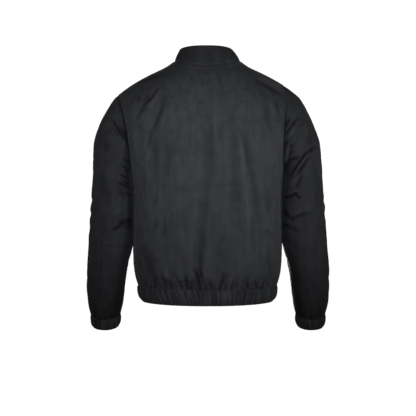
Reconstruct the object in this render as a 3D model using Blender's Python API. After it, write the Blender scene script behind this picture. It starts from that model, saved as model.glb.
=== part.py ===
# Harrington jacket, filled out as it hangs on a wearer, zipped up and empty inside.
# Metres, +Z up. The front faces -Y and the wearer's left is +X. The origin is the middle of the neck
# opening, level with the neck points. Every cloth piece is a thin wall whose outer face follows level
# sections of the body or rings of the arm, and neighbouring pieces stand a seam gap apart.
import math

import bmesh
import bpy
import numpy as np
from mathutils import Matrix

# Cloth and seams
WALL = 0.0018
SEAM_GAP = 0.0003
MITRE_LEAN = 0.5         # how far a seam's wall leans towards the two pieces' own directions
MITRE_LIMIT = 0.7        # the least slant of such a wall against the cloth
BODY_MIDDLE = 0.215      # inside and outside an armhole, across
SLEEVE_MIDDLE = 0.260

# Heights on the body
HEM_BOTTOM = -0.654
HEM_SAG = 0.0062         # how much lower the hem lies at the centre back
BACK_REACH = 0.11        # how far behind the side seams the cloth hangs lowest
HEM_SEAM = -0.610
ARMPIT = -0.306
SHOULDER_END = -0.096

# Neck opening
NECK_HALF_WIDTH = 0.0927
NECK_POINT = 0.0066
NECK_DROP_BACK = 0.0186
NECK_DROP_FRONT = 0.0850
NECK_ROUNDNESS = 1.3

# Armholes: the height of the top, how far they reach behind and in front of the shoulder seam, and how
# blunt they are at the top. The right one sits further in on the shoulder than the left one.
ARMHOLES = {
    "left": {"top": -0.084, "behind": 0.060, "before": 0.061, "bluntness": 1.0},
    "right": {"top": -0.058, "behind": 0.072, "before": 0.066, "bluntness": 0.8},
}

# Stand collar, at its top edge
COLLAR_HALF_WIDTH = 0.0742
COLLAR_BACK = 0.0560
COLLAR_FRONT = 0.0790
COLLAR_TOP = 0.0458
COLLAR_CORNER = 0.0065   # how much lower its top edge lies at the sides
COLLAR_TOP_FRONT = -0.0310
COLLAR_SWELL = 0.0020
COLLAR_LEAN = 0.0040     # how far its top lies to the left behind
COLLAR_LEAN_DEPTH = 0.05 # in front of the side seams, until the lean has gone
COLLAR_SQUARENESS = 0.95
COLLAR_FALL_SHAPE = 1.4

# Zip, across the centre front
FRONT_EDGE = 0.0065
CHAIN_HALF_WIDTH = 0.0030
CHAIN_THICKNESS = 0.0024
CHAIN_TRIM = 0.001       # no row of the chain lies closer than this to its end
TAPE_THICKNESS = 0.0008
TAPE_WIDTH = 0.0125
SLIDER_HALF_WIDTH = 0.0045
SLIDER_LENGTH = 0.0090
SLIDER_PLATE = 0.0009
SLIDER_TOP = -0.0340
PULL_LENGTH = 0.0230
PULL_HALF_WIDTH = 0.0028
PULL_THICKNESS = 0.0012
PULL_CORNER = 0.0012
BRIDGE_OUTER = 0.0028
BRIDGE_INNER = 0.0016
BRIDGE_HALF_WIDTH = 0.0010
PULL_STAND = 0.0012      # from the slider's face to the pull's axis
EYE_HALF_WIDTH = 0.0016
EYE_LENGTH = 0.0027
POST_WIDTH = 0.0024
POST_LENGTH = 0.0028
POST_SET_BACK = 0.0006
ZIP_CLEARANCE = 0.0005

# Gathers
RIDGE_HEIGHT = 0.0014
UNEVEN_STEPS = (0.71, 0.23)
CUFF_RIDGE_SHARES = (0.3, 1.0, 1.0, 0.4)  # of the ridge height, from the top ring down
BAND_RIDGE_SHARES = (0.4, 1.0, 1.0, 0.3)  # from the bottom ring up
PLAIN_END = 0.030        # of the band beside the zip
RIDGE_FADE = 0.033
BAND_LEVELS = (HEM_BOTTOM, -0.642, -0.626, HEM_SEAM - SEAM_GAP)
SLEEVE_FOLD_DROP = {"left": 0.030, "right": 0.0}  # how much lower the left sleeve's folds lie

# Grid counts
HALF_COLUMNS = 15        # across half the back, or one front
COLUMN_SPREAD = 0.85     # below 1 they lie closer together towards the side
NECK_COLUMNS = 5         # of those, the ones that end on the neck
ARM_STEPS = 14           # round half an armhole
HEM_RIDGES = 56
CUFF_RIDGES = 18
COLUMNS_PER_RIDGE = 3
RING_STEPS = 2000        # points from which a band's even columns are taken
TAPE_COLUMNS = 8         # columns from the centre front that cover the zip's tape
TAPE_COLUMNS_COLLAR = 4
SIDE_ROWS = (0.000, 0.007, 0.018, 0.035, 0.060, 0.095, 0.140, 0.190, 0.235, 0.273)  # above the hem seam

# Level sections of the body from hem to neck. Between armpit and shoulder the half width is that of
# the cloth carried on past the armhole, and above the shoulder it is the shoulder line.
BODY_COLUMNS = ("height", "half_width", "back", "front", "squareness")
BODY_ROWS = (
    (-0.657, 0.1745, 0.1040, 0.1050, 2.30),
    (-0.645, 0.1865, 0.1095, 0.1110, 2.30),
    (-0.628, 0.1918, 0.1120, 0.1140, 2.30),
    (-0.610, 0.1920, 0.1130, 0.1150, 2.30),
    (-0.590, 0.1975, 0.1170, 0.1200, 2.30),
    (-0.560, 0.2035, 0.1215, 0.1260, 2.32),
    (-0.500, 0.2055, 0.1245, 0.1300, 2.35),
    (-0.400, 0.2055, 0.1270, 0.1320, 2.38),
    (-0.340, 0.2065, 0.1280, 0.1320, 2.40),
    (-0.306, 0.2095, 0.1280, 0.1310, 2.40),
    (-0.270, 0.2170, 0.1272, 0.1290, 2.40),
    (-0.235, 0.2270, 0.1250, 0.1250, 2.40),
    (-0.200, 0.2360, 0.1215, 0.1200, 2.40),
    (-0.150, 0.2445, 0.1140, 0.1110, 2.38),
    (-0.110, 0.2490, 0.1030, 0.0990, 2.30),
    (-0.092, 0.2480, 0.0965, 0.0920, 2.20),
    (-0.084, 0.2445, 0.0935, 0.0895, 2.17),
    (-0.077, 0.2355, 0.0900, 0.0865, 2.15),
    (-0.060, 0.2120, 0.0825, 0.0800, 2.10),
    (-0.040, 0.1785, 0.0750, 0.0730, 2.05),
    (-0.019, 0.1365, 0.0675, 0.0640, 2.00),
    (-0.012, 0.1200, 0.0645, 0.0605, 2.00),
    (-0.003, 0.1050, 0.0610, 0.0575, 2.00),
    (0.0066, 0.0927, 0.0570, 0.0540, 2.00),
)
BODY = dict(zip(BODY_COLUMNS, np.array(BODY_ROWS).T))

# Rings of the arm below the armhole: the ring's outermost and innermost point seen from the front, its
# depth, how far it lies forward or back, and how far it leans with the forearm, in degrees.
ARM_COLUMNS = ("outer_x", "outer_z", "inner_x", "inner_z", "half_depth", "centre_y", "lean")
ARM_ROWS = (
    (0.2550, -0.0925, 0.2105, -0.3125, 0.0675, 0.000, 0.0),
    (0.2730, -0.1220, 0.2100, -0.3190, 0.0690, 0.000, 0.0),
    (0.2885, -0.1530, 0.2090, -0.3260, 0.0705, 0.000, 0.0),
    (0.3015, -0.1830, 0.2080, -0.3340, 0.0720, 0.000, 0.0),
    (0.3110, -0.2150, 0.2065, -0.3430, 0.0735, 0.000, 0.0),
    (0.3145, -0.2520, 0.2045, -0.3550, 0.0750, 0.000, 1.0),
    (0.3160, -0.2920, 0.2025, -0.3700, 0.0760, 0.000, 2.0),
    (0.3178, -0.3340, 0.2010, -0.3900, 0.0768, -0.001, 3.0),
    (0.3215, -0.3850, 0.2005, -0.4200, 0.0770, -0.003, 5.0),
    (0.3250, -0.4350, 0.2005, -0.4560, 0.0765, -0.007, 7.0),
    (0.3285, -0.4880, 0.2045, -0.4980, 0.0745, -0.013, 9.0),
    (0.3325, -0.5350, 0.2160, -0.5380, 0.0715, -0.021, 12.0),
    (0.3355, -0.5780, 0.2245, -0.5780, 0.0685, -0.031, 14.0),
    (0.3365, -0.6160, 0.2300, -0.6160, 0.0645, -0.042, 15.0),
    (0.3350, -0.6510, 0.2345, -0.6510, 0.0590, -0.052, 16.0),
    (0.3320, -0.6770, 0.2395, -0.6770, 0.0520, -0.059, 16.0),
    (0.3275, -0.6950, 0.2440, -0.6950, 0.0465, -0.064, 16.0),
)
RING_SQUARENESS = 2.1
CUFF_ROWS = (
    (0.3275, -0.6953, 0.2440, -0.6953, 0.0465, -0.0641, 16.0),
    (0.3285, -0.7055, 0.2435, -0.7055, 0.0470, -0.0670, 16.0),
    (0.3280, -0.7170, 0.2445, -0.7170, 0.0465, -0.0702, 16.0),
    (0.3235, -0.7265, 0.2490, -0.7265, 0.0430, -0.0730, 16.0),
)
REST_GAP = 0.0012        # where a sleeve lies against the body
REST_FADE = 0.012        # below the armpit, until it lies there in full
SWING_FADE = 0.25
ARM_SWING = {"left": 0.0005, "right": 0.0035}  # how far each forearm hangs out beyond the rings
ARM_BULGE = {"left": 0.0035, "right": -0.0025}  # how far each upper arm stands out beyond the rings
BULGE_TOP, BULGE_BOTTOM = -0.060, -0.300
SHOULDER_ROWS = {"left": (), "right": ((0.2350, -0.0765, 0.2100, -0.3090, 0.0705, 0.003, 0.0),)}

# Folds, seen from the front or back: a soft trough from one end to the other. x and z of both ends,
# how deep it is, how wide to each side, and how far its middle bows along X.
FOLD_COLUMNS = ("from_x", "from_z", "to_x", "to_z", "depth", "width", "bow")
BACK_FOLDS = (
    (-0.007, -0.120, 0.022, -0.570, 0.0060, 0.016, 0.000),
    (-0.078, -0.180, -0.090, -0.480, 0.0050, 0.015, 0.004),
    (0.142, -0.170, 0.118, -0.460, 0.0040, 0.018, 0.004),
    (0.117, -0.055, 0.160, -0.220, 0.0040, 0.014, 0.000),
    (-0.125, -0.310, -0.134, -0.440, 0.0035, 0.012, 0.000),
    (-0.158, -0.110, -0.186, -0.240, 0.0030, 0.012, 0.000),
    (0.048, -0.520, 0.055, -0.600, 0.0030, 0.010, 0.000),
)
FRONT_FOLDS = (
    (0.075, -0.170, 0.085, -0.520, 0.0050, 0.016, 0.004),
    (0.140, -0.160, 0.120, -0.400, 0.0040, 0.016, 0.000),
    (0.120, -0.060, 0.165, -0.230, 0.0040, 0.014, 0.000),
    (-0.070, -0.200, -0.080, -0.560, 0.0050, 0.016, -0.004),
    (-0.138, -0.150, -0.150, -0.390, 0.0040, 0.016, 0.000),
    (-0.118, -0.060, -0.160, -0.230, 0.0040, 0.014, 0.000),
)
# On the sleeves, x is the distance out from the middle of the body.
SLEEVE_FOLDS_BACK = (
    (0.224, -0.318, 0.300, -0.230, 0.0040, 0.009, 0.004),
    (0.236, -0.345, 0.268, -0.282, 0.0035, 0.008, 0.000),
    (0.214, -0.368, 0.252, -0.368, 0.0040, 0.007, 0.000),
    (0.214, -0.280, 0.244, -0.262, 0.0030, 0.007, 0.000),
    (0.272, -0.137, 0.240, -0.205, 0.0030, 0.011, 0.000),
    (0.230, -0.436, 0.262, -0.414, 0.0030, 0.008, 0.000),
    (0.300, -0.440, 0.262, -0.500, 0.0030, 0.010, 0.000),
    (0.310, -0.600, 0.262, -0.640, 0.0030, 0.009, 0.000),
)
SLEEVE_FOLDS_FRONT = (
    (0.224, -0.325, 0.296, -0.250, 0.0040, 0.009, 0.004),
    (0.220, -0.400, 0.290, -0.360, 0.0050, 0.009, 0.004),
    (0.224, -0.440, 0.300, -0.400, 0.0050, 0.009, 0.000),
    (0.230, -0.480, 0.300, -0.460, 0.0040, 0.009, 0.000),
    (0.272, -0.140, 0.242, -0.210, 0.0030, 0.011, 0.000),
    (0.312, -0.590, 0.258, -0.640, 0.0030, 0.010, 0.000),
)

FOLD_ENDS = 0.7          # how bluntly a fold ends
FOLD_LIP = 0.25          # raised lips beside a fold, as a share of its depth, and how far they spread
FOLD_LIP_SPREAD = 6

# Pleats pressed into the hem seam: distance along the hem from the centre, depth, and half width.
PLEAT_COLUMNS = ("across", "depth", "width")
BACK_PLEATS = (
    (0.152, 0.0040, 0.0080),
    (0.112, 0.0045, 0.0085),
    (0.057, 0.0050, 0.0085),
    (0.023, 0.0050, 0.0090),
    (-0.034, 0.0045, 0.0080),
    (-0.072, 0.0030, 0.0080),
    (-0.112, 0.0045, 0.0085),
    (-0.154, 0.0040, 0.0080),
)
FRONT_PLEATS = (
    (0.052, 0.0040, 0.0085),
    (0.090, 0.0045, 0.0085),
    (0.124, 0.0040, 0.0080),
    (0.158, 0.0045, 0.0080),
)
PLEAT_RISE = 0.070
PLEAT_START = 0.016      # above the seam, where a pleat is full
PLEAT_AT_SEAM = 0.35     # its share of depth on the seam itself

LOOKS = {
    "shell_cloth": ((0.030, 0.031, 0.034), 0.72, 0.0),
    "elastic_band": ((0.024, 0.025, 0.028), 0.75, 0.0),
    "zip_tape": ((0.020, 0.020, 0.022), 0.80, 0.0),
    "zip_metal": ((0.060, 0.060, 0.064), 0.35, 0.9),
}


def clear_scene():
    for obj in list(bpy.data.objects):
        bpy.data.objects.remove(obj, do_unlink=True)


def material(name):
    found = bpy.data.materials.get(name)
    if found:
        return found
    colour, roughness, metallic = LOOKS[name]
    made = bpy.data.materials.new(name)
    made.use_nodes = True
    surface = made.node_tree.nodes["Principled BSDF"]
    surface.inputs["Base Color"].default_value = (*colour, 1.0)
    surface.inputs["Roughness"].default_value = roughness
    surface.inputs["Metallic"].default_value = metallic
    made.diffuse_color = (*colour, 1.0)
    return made


def unit(vectors):
    return vectors / np.linalg.norm(vectors, axis=-1, keepdims=True)


def smooth(knots, values, at):
    """A curve through the values that never swings past them."""
    steps = np.diff(knots)
    rises = np.diff(values) / steps
    slopes = np.zeros(len(knots))
    same_way = rises[1:] * rises[:-1] > 0
    before, after = rises[:-1][same_way], rises[1:][same_way]
    slopes[1:-1][same_way] = 2 * before * after / (before + after)
    slopes[0], slopes[-1] = rises[0], rises[-1]
    i = np.clip(np.searchsorted(knots, at) - 1, 0, len(steps) - 1)
    t = (at - knots[i]) / steps[i]
    stay = (1 + 2 * t) * (1 - t) ** 2
    return (
        stay * values[i]
        + (1 - stay) * values[i + 1]
        + t * (1 - t) * steps[i] * ((1 - t) * slopes[i] - t * slopes[i + 1])
    )


def body(column, height):
    return smooth(BODY["height"], BODY[column], np.asarray(height, float))


def body_depth(x, height, side):
    """How far the cloth stands behind (side 1) or in front (side -1) of the side seam."""
    depth = body("back" if side > 0 else "front", height)
    power = body("squareness", height)
    left = 1 - (np.abs(x) / body("half_width", height)) ** power
    return side * depth * np.clip(left, 0, None) ** (1 / power)


def body_fullness(points, side):
    """Zero on the body's surface, negative inside it."""
    x, y, z = np.moveaxis(points, -1, 0)
    depth = body("back" if side > 0 else "front", z)
    power = body("squareness", z)
    return (np.abs(x) / body("half_width", z)) ** power + (np.abs(y) / depth) ** power - 1


def body_normals(points, side):
    step = 1e-5
    slopes = [
        body_fullness(points + step * axis, side) - body_fullness(points - step * axis, side)
        for axis in np.eye(3)
    ]
    return unit(np.stack(slopes, axis=-1))


def shoulder_height(x):
    """Height of the shoulder line at a distance from the middle."""
    heights = np.linspace(NECK_POINT, SHOULDER_END, 200)
    return np.interp(x, body("half_width", heights), heights)


def neck_edge(angle, side):
    """The neck seam, from the centre (angle 90 degrees) to the neck point (0), as x and z."""
    drop = NECK_DROP_BACK * np.sin(angle) ** 2 if side > 0 else NECK_DROP_FRONT * np.sin(angle) ** NECK_ROUNDNESS
    return NECK_HALF_WIDTH * np.cos(angle), NECK_POINT - drop


def armhole(angle, hole):
    """An armhole seam, on the left. Angle 0 is the shoulder, 90 degrees the back and 180 the armpit."""
    rise = (1 + np.cos(angle)) / 2
    z = ARMPIT + rise * (hole["top"] - ARMPIT)
    sine = np.sin(angle)
    y = np.where(sine >= 0, hole["behind"], -hole["before"]) * np.abs(sine) ** hole["bluntness"]
    depth = np.where(y >= 0, body("back", z), body("front", z))
    power = body("squareness", z)
    x = body("half_width", z) * (1 - (np.abs(y) / depth) ** power) ** (1 / power)
    return np.stack([x, y, z], axis=-1)


def ring(row, columns, angle):
    """A ring round the arm. Angle 0 is its outer point and 90 degrees the back."""
    at = dict(zip(columns, row))
    outer = np.array([at["outer_x"], 0, at["outer_z"]])
    inner = np.array([at["inner_x"], 0, at["inner_z"]])
    lean = math.radians(at["lean"])
    backwards = np.array([0, math.cos(lean), -math.sin(lean)])
    middle = (outer + inner) / 2 + np.array([0, at["centre_y"], 0])
    cosine, sine = np.cos(angle), np.sin(angle)
    across = np.sign(cosine) * np.abs(cosine) ** (2 / RING_SQUARENESS)
    along = np.sign(sine) * np.abs(sine) ** (2 / RING_SQUARENESS)
    return middle + across[:, None] * (outer - inner) / 2 + along[:, None] * at["half_depth"] * backwards


def sagged(points):
    """The cloth let down towards the hem behind the side seams."""
    behind = np.clip(points[..., 1] / BACK_REACH, 0, 1) ** 2
    down = np.clip((ARMPIT - points[..., 2]) / (ARMPIT - HEM_SEAM), 0, 1)
    return points - np.array([0, 0, HEM_SAG]) * (behind * down)[..., None]


def swung(rings, swing):
    """The arm's rings swung out from the elbow down, and laid against the body where they meet it."""
    x, y, z = np.moveaxis(rings.copy(), -1, 0)
    x += swing * np.clip((ARMPIT - z) / SWING_FADE, 0, 1)
    depth = np.where(y > 0, body("back", z), body("front", z))
    power = body("squareness", z)
    left = np.clip(1 - (np.abs(y) / depth) ** power, 0, None)
    side = body("half_width", z) * left ** (1 / power) + REST_GAP
    below = np.clip((ARMPIT - z) / REST_FADE, 0, 1)
    x = np.where(z > HEM_SEAM, x + np.clip(side - x, 0, None) * below, x)
    return np.stack([x, y, z], axis=-1)


def trough(x, z, fold):
    """Depth of one fold at points seen from the front: full along its middle, fading to its ends."""
    at = dict(zip(FOLD_COLUMNS, fold))
    run = np.array([at["to_x"] - at["from_x"], at["to_z"] - at["from_z"]])
    length = np.linalg.norm(run)
    dx, dz = x - at["from_x"], z - at["from_z"]
    along = (dx * run[0] + dz * run[1]) / length**2
    aside = (dx * run[1] - dz * run[0]) / length
    bow = at["bow"] * np.sin(math.pi * np.clip(along, 0, 1))
    ends = np.sin(math.pi * np.clip(along, 0, 1)) ** FOLD_ENDS
    offset = (aside - bow) / at["width"]
    lip = FOLD_LIP * np.exp(-(offset**2) / FOLD_LIP_SPREAD)
    return at["depth"] * ends * ((1 + FOLD_LIP) * np.exp(-(offset**2)) - lip)


def pleats(across, above, table):
    """Depth of the pleats that stand on the hem seam, fading out above it."""
    fade = np.clip(1 - above / PLEAT_RISE, 0, 1) ** 1.5 * np.clip(PLEAT_AT_SEAM + above / PLEAT_START, 0, 1)
    total = np.zeros_like(above)
    for row in table:
        at = dict(zip(PLEAT_COLUMNS, row))
        total += at["depth"] * np.exp(-(((across - at["across"]) / at["width"]) ** 2))
    return total * fade


def fold_depth(points, side, folds, table):
    x, _, z = np.moveaxis(points, -1, 0)
    total = sum(trough(x, z, fold) for fold in folds)
    return total + pleats(x if side > 0 else np.abs(x), z - HEM_SEAM, table)


def panel_points(side, centre_x, hole):
    """Rows from hem to shoulder, columns from the centre outwards, on the left of the body's surface."""
    w = np.linspace(0, 1, HALF_COLUMNS + 1)
    spread = np.sin(math.pi * w / 2) ** COLUMN_SPREAD
    neck = NECK_COLUMNS / HALF_COLUMNS
    on_neck = w < neck + 1e-9
    angle = math.pi / 2 * (1 - np.clip(w / neck, 0, 1))
    neck_x, neck_z = neck_edge(angle, side)
    neck_x = centre_x + (neck_x - neck_x[0]) * (1 - centre_x / NECK_HALF_WIDTH)
    q = np.clip((w - neck) / (1 - neck), 0, 1)
    shoulder_x = body("half_width", hole["top"])
    line_x = NECK_HALF_WIDTH + (shoulder_x - NECK_HALF_WIDTH) * (q + np.sin(math.pi * q / 2)) / 2
    top_x = np.where(on_neck, neck_x, line_x)
    top_z = np.where(on_neck, neck_z, shoulder_height(line_x))

    rows = []
    for height in SIDE_ROWS:
        z = np.full_like(w, HEM_SEAM + height)
        rows.append((centre_x + (body("half_width", z) - centre_x) * spread, z))
    pit_x = centre_x + (body("half_width", ARMPIT) - centre_x) * spread
    for step in range(ARM_STEPS + 1):
        turn = math.pi * (1 - step / ARM_STEPS)
        rise = (1 + math.cos(turn)) / 2
        edge = armhole(np.array([side * turn]), hole)[0, 0]
        level = (1 - rise) * pit_x + rise * top_x
        rows.append((level + (edge - level[-1]) * w**3, ARMPIT + rise * (top_z - ARMPIT)))
    x, z = (np.array([row[i] for row in rows]) for i in (0, 1))
    y = body_depth(x, z, side)
    y[: len(SIDE_ROWS) + 1, -1] = 0
    y[-1, ~on_neck] = 0
    y[-1, NECK_COLUMNS] = 0
    return np.stack([x, y, z], axis=-1)


def arm_angles():
    return np.arange(2 * ARM_STEPS) * math.pi / ARM_STEPS


def seam_walls(points, tangents, normals, rising, middle, outside):
    """Wall and gap vectors along a seam: the first piece lies away from middle, the second one rises
    from the seam, and outside points from within the second piece to the seam."""
    normals_b = unit(np.cross(tangents, rising))
    normals_b *= np.sign(np.sum(normals_b * outside, axis=-1, keepdims=True))
    into_a = unit(np.cross(tangents, normals))
    into_a *= np.sign(np.sum(into_a * (points - middle), axis=-1, keepdims=True))
    outward = normals + normals_b
    spread = into_a + rising
    turn = np.sign(np.sum(outward * spread, axis=-1, keepdims=True))
    bisector = unit(outward + MITRE_LEAN * turn * spread)
    facing = np.clip(np.sum(bisector * normals, axis=-1, keepdims=True), MITRE_LIMIT, 1)
    wall = -WALL * bisector / facing
    across = unit(np.cross(tangents, wall))
    across *= np.sign(np.sum(across * rising, axis=-1, keepdims=True))
    return wall, SEAM_GAP * across


def arm_rings(name):
    """The rings of one arm, on the left, without the armhole."""
    rings = []
    for row in SHOULDER_ROWS[name] + ARM_ROWS:
        at = dict(zip(ARM_COLUMNS, row))
        up = np.clip((at["outer_z"] - BULGE_BOTTOM) / (BULGE_TOP - BULGE_BOTTOM), 0, 1)
        at["outer_x"] += ARM_BULGE[name] * math.sin(math.pi * up) ** 2
        rings.append(ring(at.values(), ARM_COLUMNS, arm_angles()))
    return np.array(rings)


def arm_seam(name):
    """One armhole, on the left: its points in order of angle, their walls, and the gap to the sleeve."""
    angle = arm_angles()
    hole = ARMHOLES[name]
    seam = armhole(angle, hole)
    tangents = unit(np.roll(seam, -1, axis=0) - np.roll(seam, 1, axis=0))
    back = np.sin(angle)[:, None] >= -1e-9
    normals = np.where(back, body_normals(seam, 1), body_normals(seam, -1))
    rising = unit(arm_rings(name)[0] - seam)
    body_middle = np.array([BODY_MIDDLE, 0, (hole["top"] + ARMPIT) / 2])
    sleeve_middle = np.array([SLEEVE_MIDDLE, 0, (hole["top"] + ARMPIT) / 2])
    return seam, *seam_walls(seam, tangents, normals, rising, body_middle, seam - sleeve_middle)


def collar_top(angle):
    """The collar's top edge. Angle 90 degrees is the centre back, 0 the side and -90 the front."""
    sine = np.sin(angle)
    x = COLLAR_HALF_WIDTH * np.cos(angle) ** COLLAR_SQUARENESS
    reach = np.where(sine > 0, COLLAR_BACK, COLLAR_FRONT)
    fall = np.where(sine > 0, 0, (COLLAR_TOP - COLLAR_TOP_FRONT) * np.abs(sine) ** COLLAR_FALL_SHAPE)
    fall = fall + COLLAR_CORNER * np.cos(angle) ** 4
    return np.stack([x, reach * sine, COLLAR_TOP - fall], axis=-1)


def neck_seam(back_half, front_half):
    """The left half of the neck seam, from the centre front round to the centre back."""
    base = np.concatenate([front_half[-1, :NECK_COLUMNS], back_half[-1, NECK_COLUMNS::-1]])
    angle = np.linspace(-math.pi / 2, math.pi / 2, 2 * NECK_COLUMNS + 1)
    top = collar_top(angle)
    top[:, 0] = np.maximum(top[:, 0], FRONT_EDGE * (angle < 0))
    top[-1, 0] = 0
    tangents = np.gradient(base, axis=0)
    tangents[0], tangents[-1] = (1, 0, 0), (1, 0, 0)
    tangents = unit(tangents)
    sides = np.where(angle[:, None] >= 0, body_normals(base, 1), body_normals(base, -1))
    rising = unit(top - base)
    outside = base * np.array([1, 1, 0])
    wall, gap = seam_walls(base, tangents, sides, rising, np.array([0, 0, 0.05]), outside)
    return base, top, wall, gap


def mirrored(points):
    return points * np.array([-1, 1, 1])


def wall_piece(name, look, outer, inner, wrap=False):
    """A wall between two skins of rows and columns, closed round its edges."""
    bm = bmesh.new()
    skins = [[[bm.verts.new(point) for point in row] for row in skin] for skin in (outer, inner)]

    def strip(first, second, wrapped):
        count = len(first) if wrapped else len(first) - 1
        for i in range(count):
            j = (i + 1) % len(first)
            bm.faces.new((first[i], first[j], second[j], second[i]))

    for skin in skins:
        for lower, upper in zip(skin, skin[1:]):
            strip(lower, upper, wrap)
    for row in (0, -1):
        strip(skins[0][row], skins[1][row], wrap)
    if not wrap:
        for column in (0, -1):
            edges = [[row[column] for row in skin] for skin in skins]
            strip(edges[0], edges[1], False)
    bmesh.ops.recalc_face_normals(bm, faces=bm.faces)
    return as_object(name, look, bm)


def as_object(name, look, bm, place=None):
    mesh = bpy.data.meshes.new(name)
    bm.to_mesh(mesh)
    bm.free()
    mesh.shade_smooth()
    mesh.set_sharp_from_angle(angle=math.radians(40))
    mesh.materials.append(material(look))
    obj = bpy.data.objects.new(name, mesh)
    bpy.context.scene.collection.objects.link(obj)
    if place:
        obj.matrix_world = place
    return obj


def panel_walls(points, side, arm_wall, neck_wall):
    """Wall vectors over half a panel: straight in, but mitred along the armhole and the neck."""
    walls = -WALL * body_normals(points, side)
    rows = len(SIDE_ROWS)
    for step in range(ARM_STEPS + 1):
        walls[rows + step, -1] = arm_wall[(side * (ARM_STEPS - step)) % (2 * ARM_STEPS)]
    walls[-1, : NECK_COLUMNS + 1] = neck_wall
    return walls


def panel_fade(points, closed_centre):
    """One over most of a panel, falling to zero at its seams but not at the hem."""
    rows, columns = points.shape[:2]
    down = np.clip((rows - 1 - np.arange(rows)) / 4, 0, 1)[:, None]
    out = np.clip((columns - 1 - np.arange(columns)) / 3, 0, 1)[None, :]
    centre = np.clip((np.arange(columns) - 1) / 3, 0, 1)[None, :] if closed_centre else 1.0
    return down * out * centre


def fold_panel(points, walls, side, fade, folds, table):
    inward = unit(walls)
    pushed = points + (fold_depth(points, side, folds, table) * fade)[..., None] * inward
    return pushed, pushed + walls


def make_body(arm_walls):
    """The three panels and the collar. Returns the points of the left front and half of the collar."""
    backs = {name: panel_points(1, 0.0, hole) for name, hole in ARMHOLES.items()}
    fronts = {name: panel_points(-1, FRONT_EDGE, hole) for name, hole in ARMHOLES.items()}
    base, top, neck_wall, neck_gap = neck_seam(backs["left"], fronts["left"])

    halves = []
    for name, flip in (("right", mirrored), ("left", np.array)):
        walls = panel_walls(backs[name], 1, arm_walls[name], neck_wall[: NECK_COLUMNS - 1 : -1])
        halves.append((flip(backs[name]), flip(walls), panel_fade(backs[name], False)))
    points, walls, fade = (
        np.concatenate([right[:, :0:-1], left], axis=1) for right, left in zip(*halves)
    )
    outer, inner = fold_panel(points, walls, 1, fade, BACK_FOLDS, BACK_PLEATS)
    wall_piece("back", "shell_cloth", sagged(outer), sagged(inner))

    for name, flip in (("left", np.array), ("right", mirrored)):
        front = fronts[name]
        walls = panel_walls(front, -1, arm_walls[name], neck_wall[: NECK_COLUMNS + 1])
        front[: len(SIDE_ROWS) + 1, -1, 1] -= SEAM_GAP
        front[-1, NECK_COLUMNS:, 1] -= SEAM_GAP
        fade = panel_fade(front, True)
        outer, inner = fold_panel(flip(front), flip(walls), -1, fade, FRONT_FOLDS, FRONT_PLEATS)
        wall_piece(f"front_{name}", "shell_cloth", outer, inner)
    return fronts["left"], make_collar(base, top, neck_wall, neck_gap)


def make_collar(base, top, neck_wall, neck_gap):
    """The stand collar. Returns the points of its left half, from the neck seam up."""
    rise = np.array([0, 0.25, 0.5, 0.75, 1])[:, None, None]
    lift = unit(np.cross(np.gradient(base, axis=0), top - base))
    lift *= np.sign(np.sum(lift * base * np.array([1, 1, 0]), axis=-1, keepdims=True))
    swell = COLLAR_SWELL * np.sin(math.pi * rise)
    half = base + (top - base) * rise + swell * lift + neck_gap * (1 - rise)
    walls = np.broadcast_to(-WALL * lift, half.shape).copy()
    walls[0] = neck_wall
    whole, walls = (
        np.concatenate([part, mirrored(part[:, -2::-1])], axis=1) for part in (half, walls)
    )
    whole[..., 0] += COLLAR_LEAN * rise[..., 0] * np.clip(1 + whole[..., 1] / COLLAR_LEAN_DEPTH, 0, 1)
    wall_piece("collar", "shell_cloth", whole, whole + walls)
    return half


def ring_walls(rings):
    """Wall vectors on rings round a tube, straight in."""
    around = np.roll(rings, -1, axis=1) - np.roll(rings, 1, axis=1)
    along = np.gradient(rings, axis=0)
    normals = unit(np.cross(around, along))
    outward = rings - rings.mean(axis=1, keepdims=True)
    return -WALL * normals * np.sign(np.sum(normals * outward, axis=-1, keepdims=True))


def make_sleeves(seams):
    angle = arm_angles()
    for name, flip in (("left", np.array), ("right", mirrored)):
        seam, arm_wall, arm_gap = seams[name]
        rings = swung(np.concatenate([[seam], arm_rings(name)]), ARM_SWING[name])
        rows = np.arange(len(rings))
        fade = (np.clip(rows / 3, 0, 1) * np.clip((rows[-1] - rows) / 2, 0, 1))[:, None]
        walls = ring_walls(rings)
        rings[0] = seam + arm_gap
        walls[0] = arm_wall
        x, _, z = np.moveaxis(rings, -1, 0)
        depth = np.zeros(rings.shape[:2])
        for half, folds in ((np.sin(angle), SLEEVE_FOLDS_BACK), (-np.sin(angle), SLEEVE_FOLDS_FRONT)):
            facing = np.clip(half * 3, 0, 1)
            depth += facing * sum(trough(x, z + SLEEVE_FOLD_DROP[name], fold) for fold in folds)
        pushed = rings + (depth * fade)[..., None] * unit(walls)
        wall_piece(f"sleeve_{name}", "shell_cloth", flip(pushed), flip(pushed + walls), wrap=True)
        make_cuff(name, flip)


def ridges(count, height):
    """Gathers round a band: heights of its columns, uneven from one ridge to the next."""
    column = np.arange(count * COLUMNS_PER_RIDGE)
    crest = np.where(column % COLUMNS_PER_RIDGE == 0, 1.0, 0.0)
    uneven = 0.7 + 0.3 * np.sin(column * UNEVEN_STEPS[0]) * np.cos(column * UNEVEN_STEPS[1])
    return height * crest * uneven


def make_cuff(name, flip):
    count = CUFF_RIDGES * COLUMNS_PER_RIDGE
    angle = np.arange(count) * 2 * math.pi / count
    rings = swung(np.array([ring(row, ARM_COLUMNS, angle) for row in CUFF_ROWS]), ARM_SWING[name])
    walls = ring_walls(rings)
    raised = np.array(CUFF_RIDGE_SHARES)[:, None] * ridges(CUFF_RIDGES, RIDGE_HEIGHT)
    outer = rings - raised[..., None] * unit(walls)
    wall_piece(f"cuff_{name}", "elastic_band", flip(outer), flip(rings + walls), wrap=True)


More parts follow.
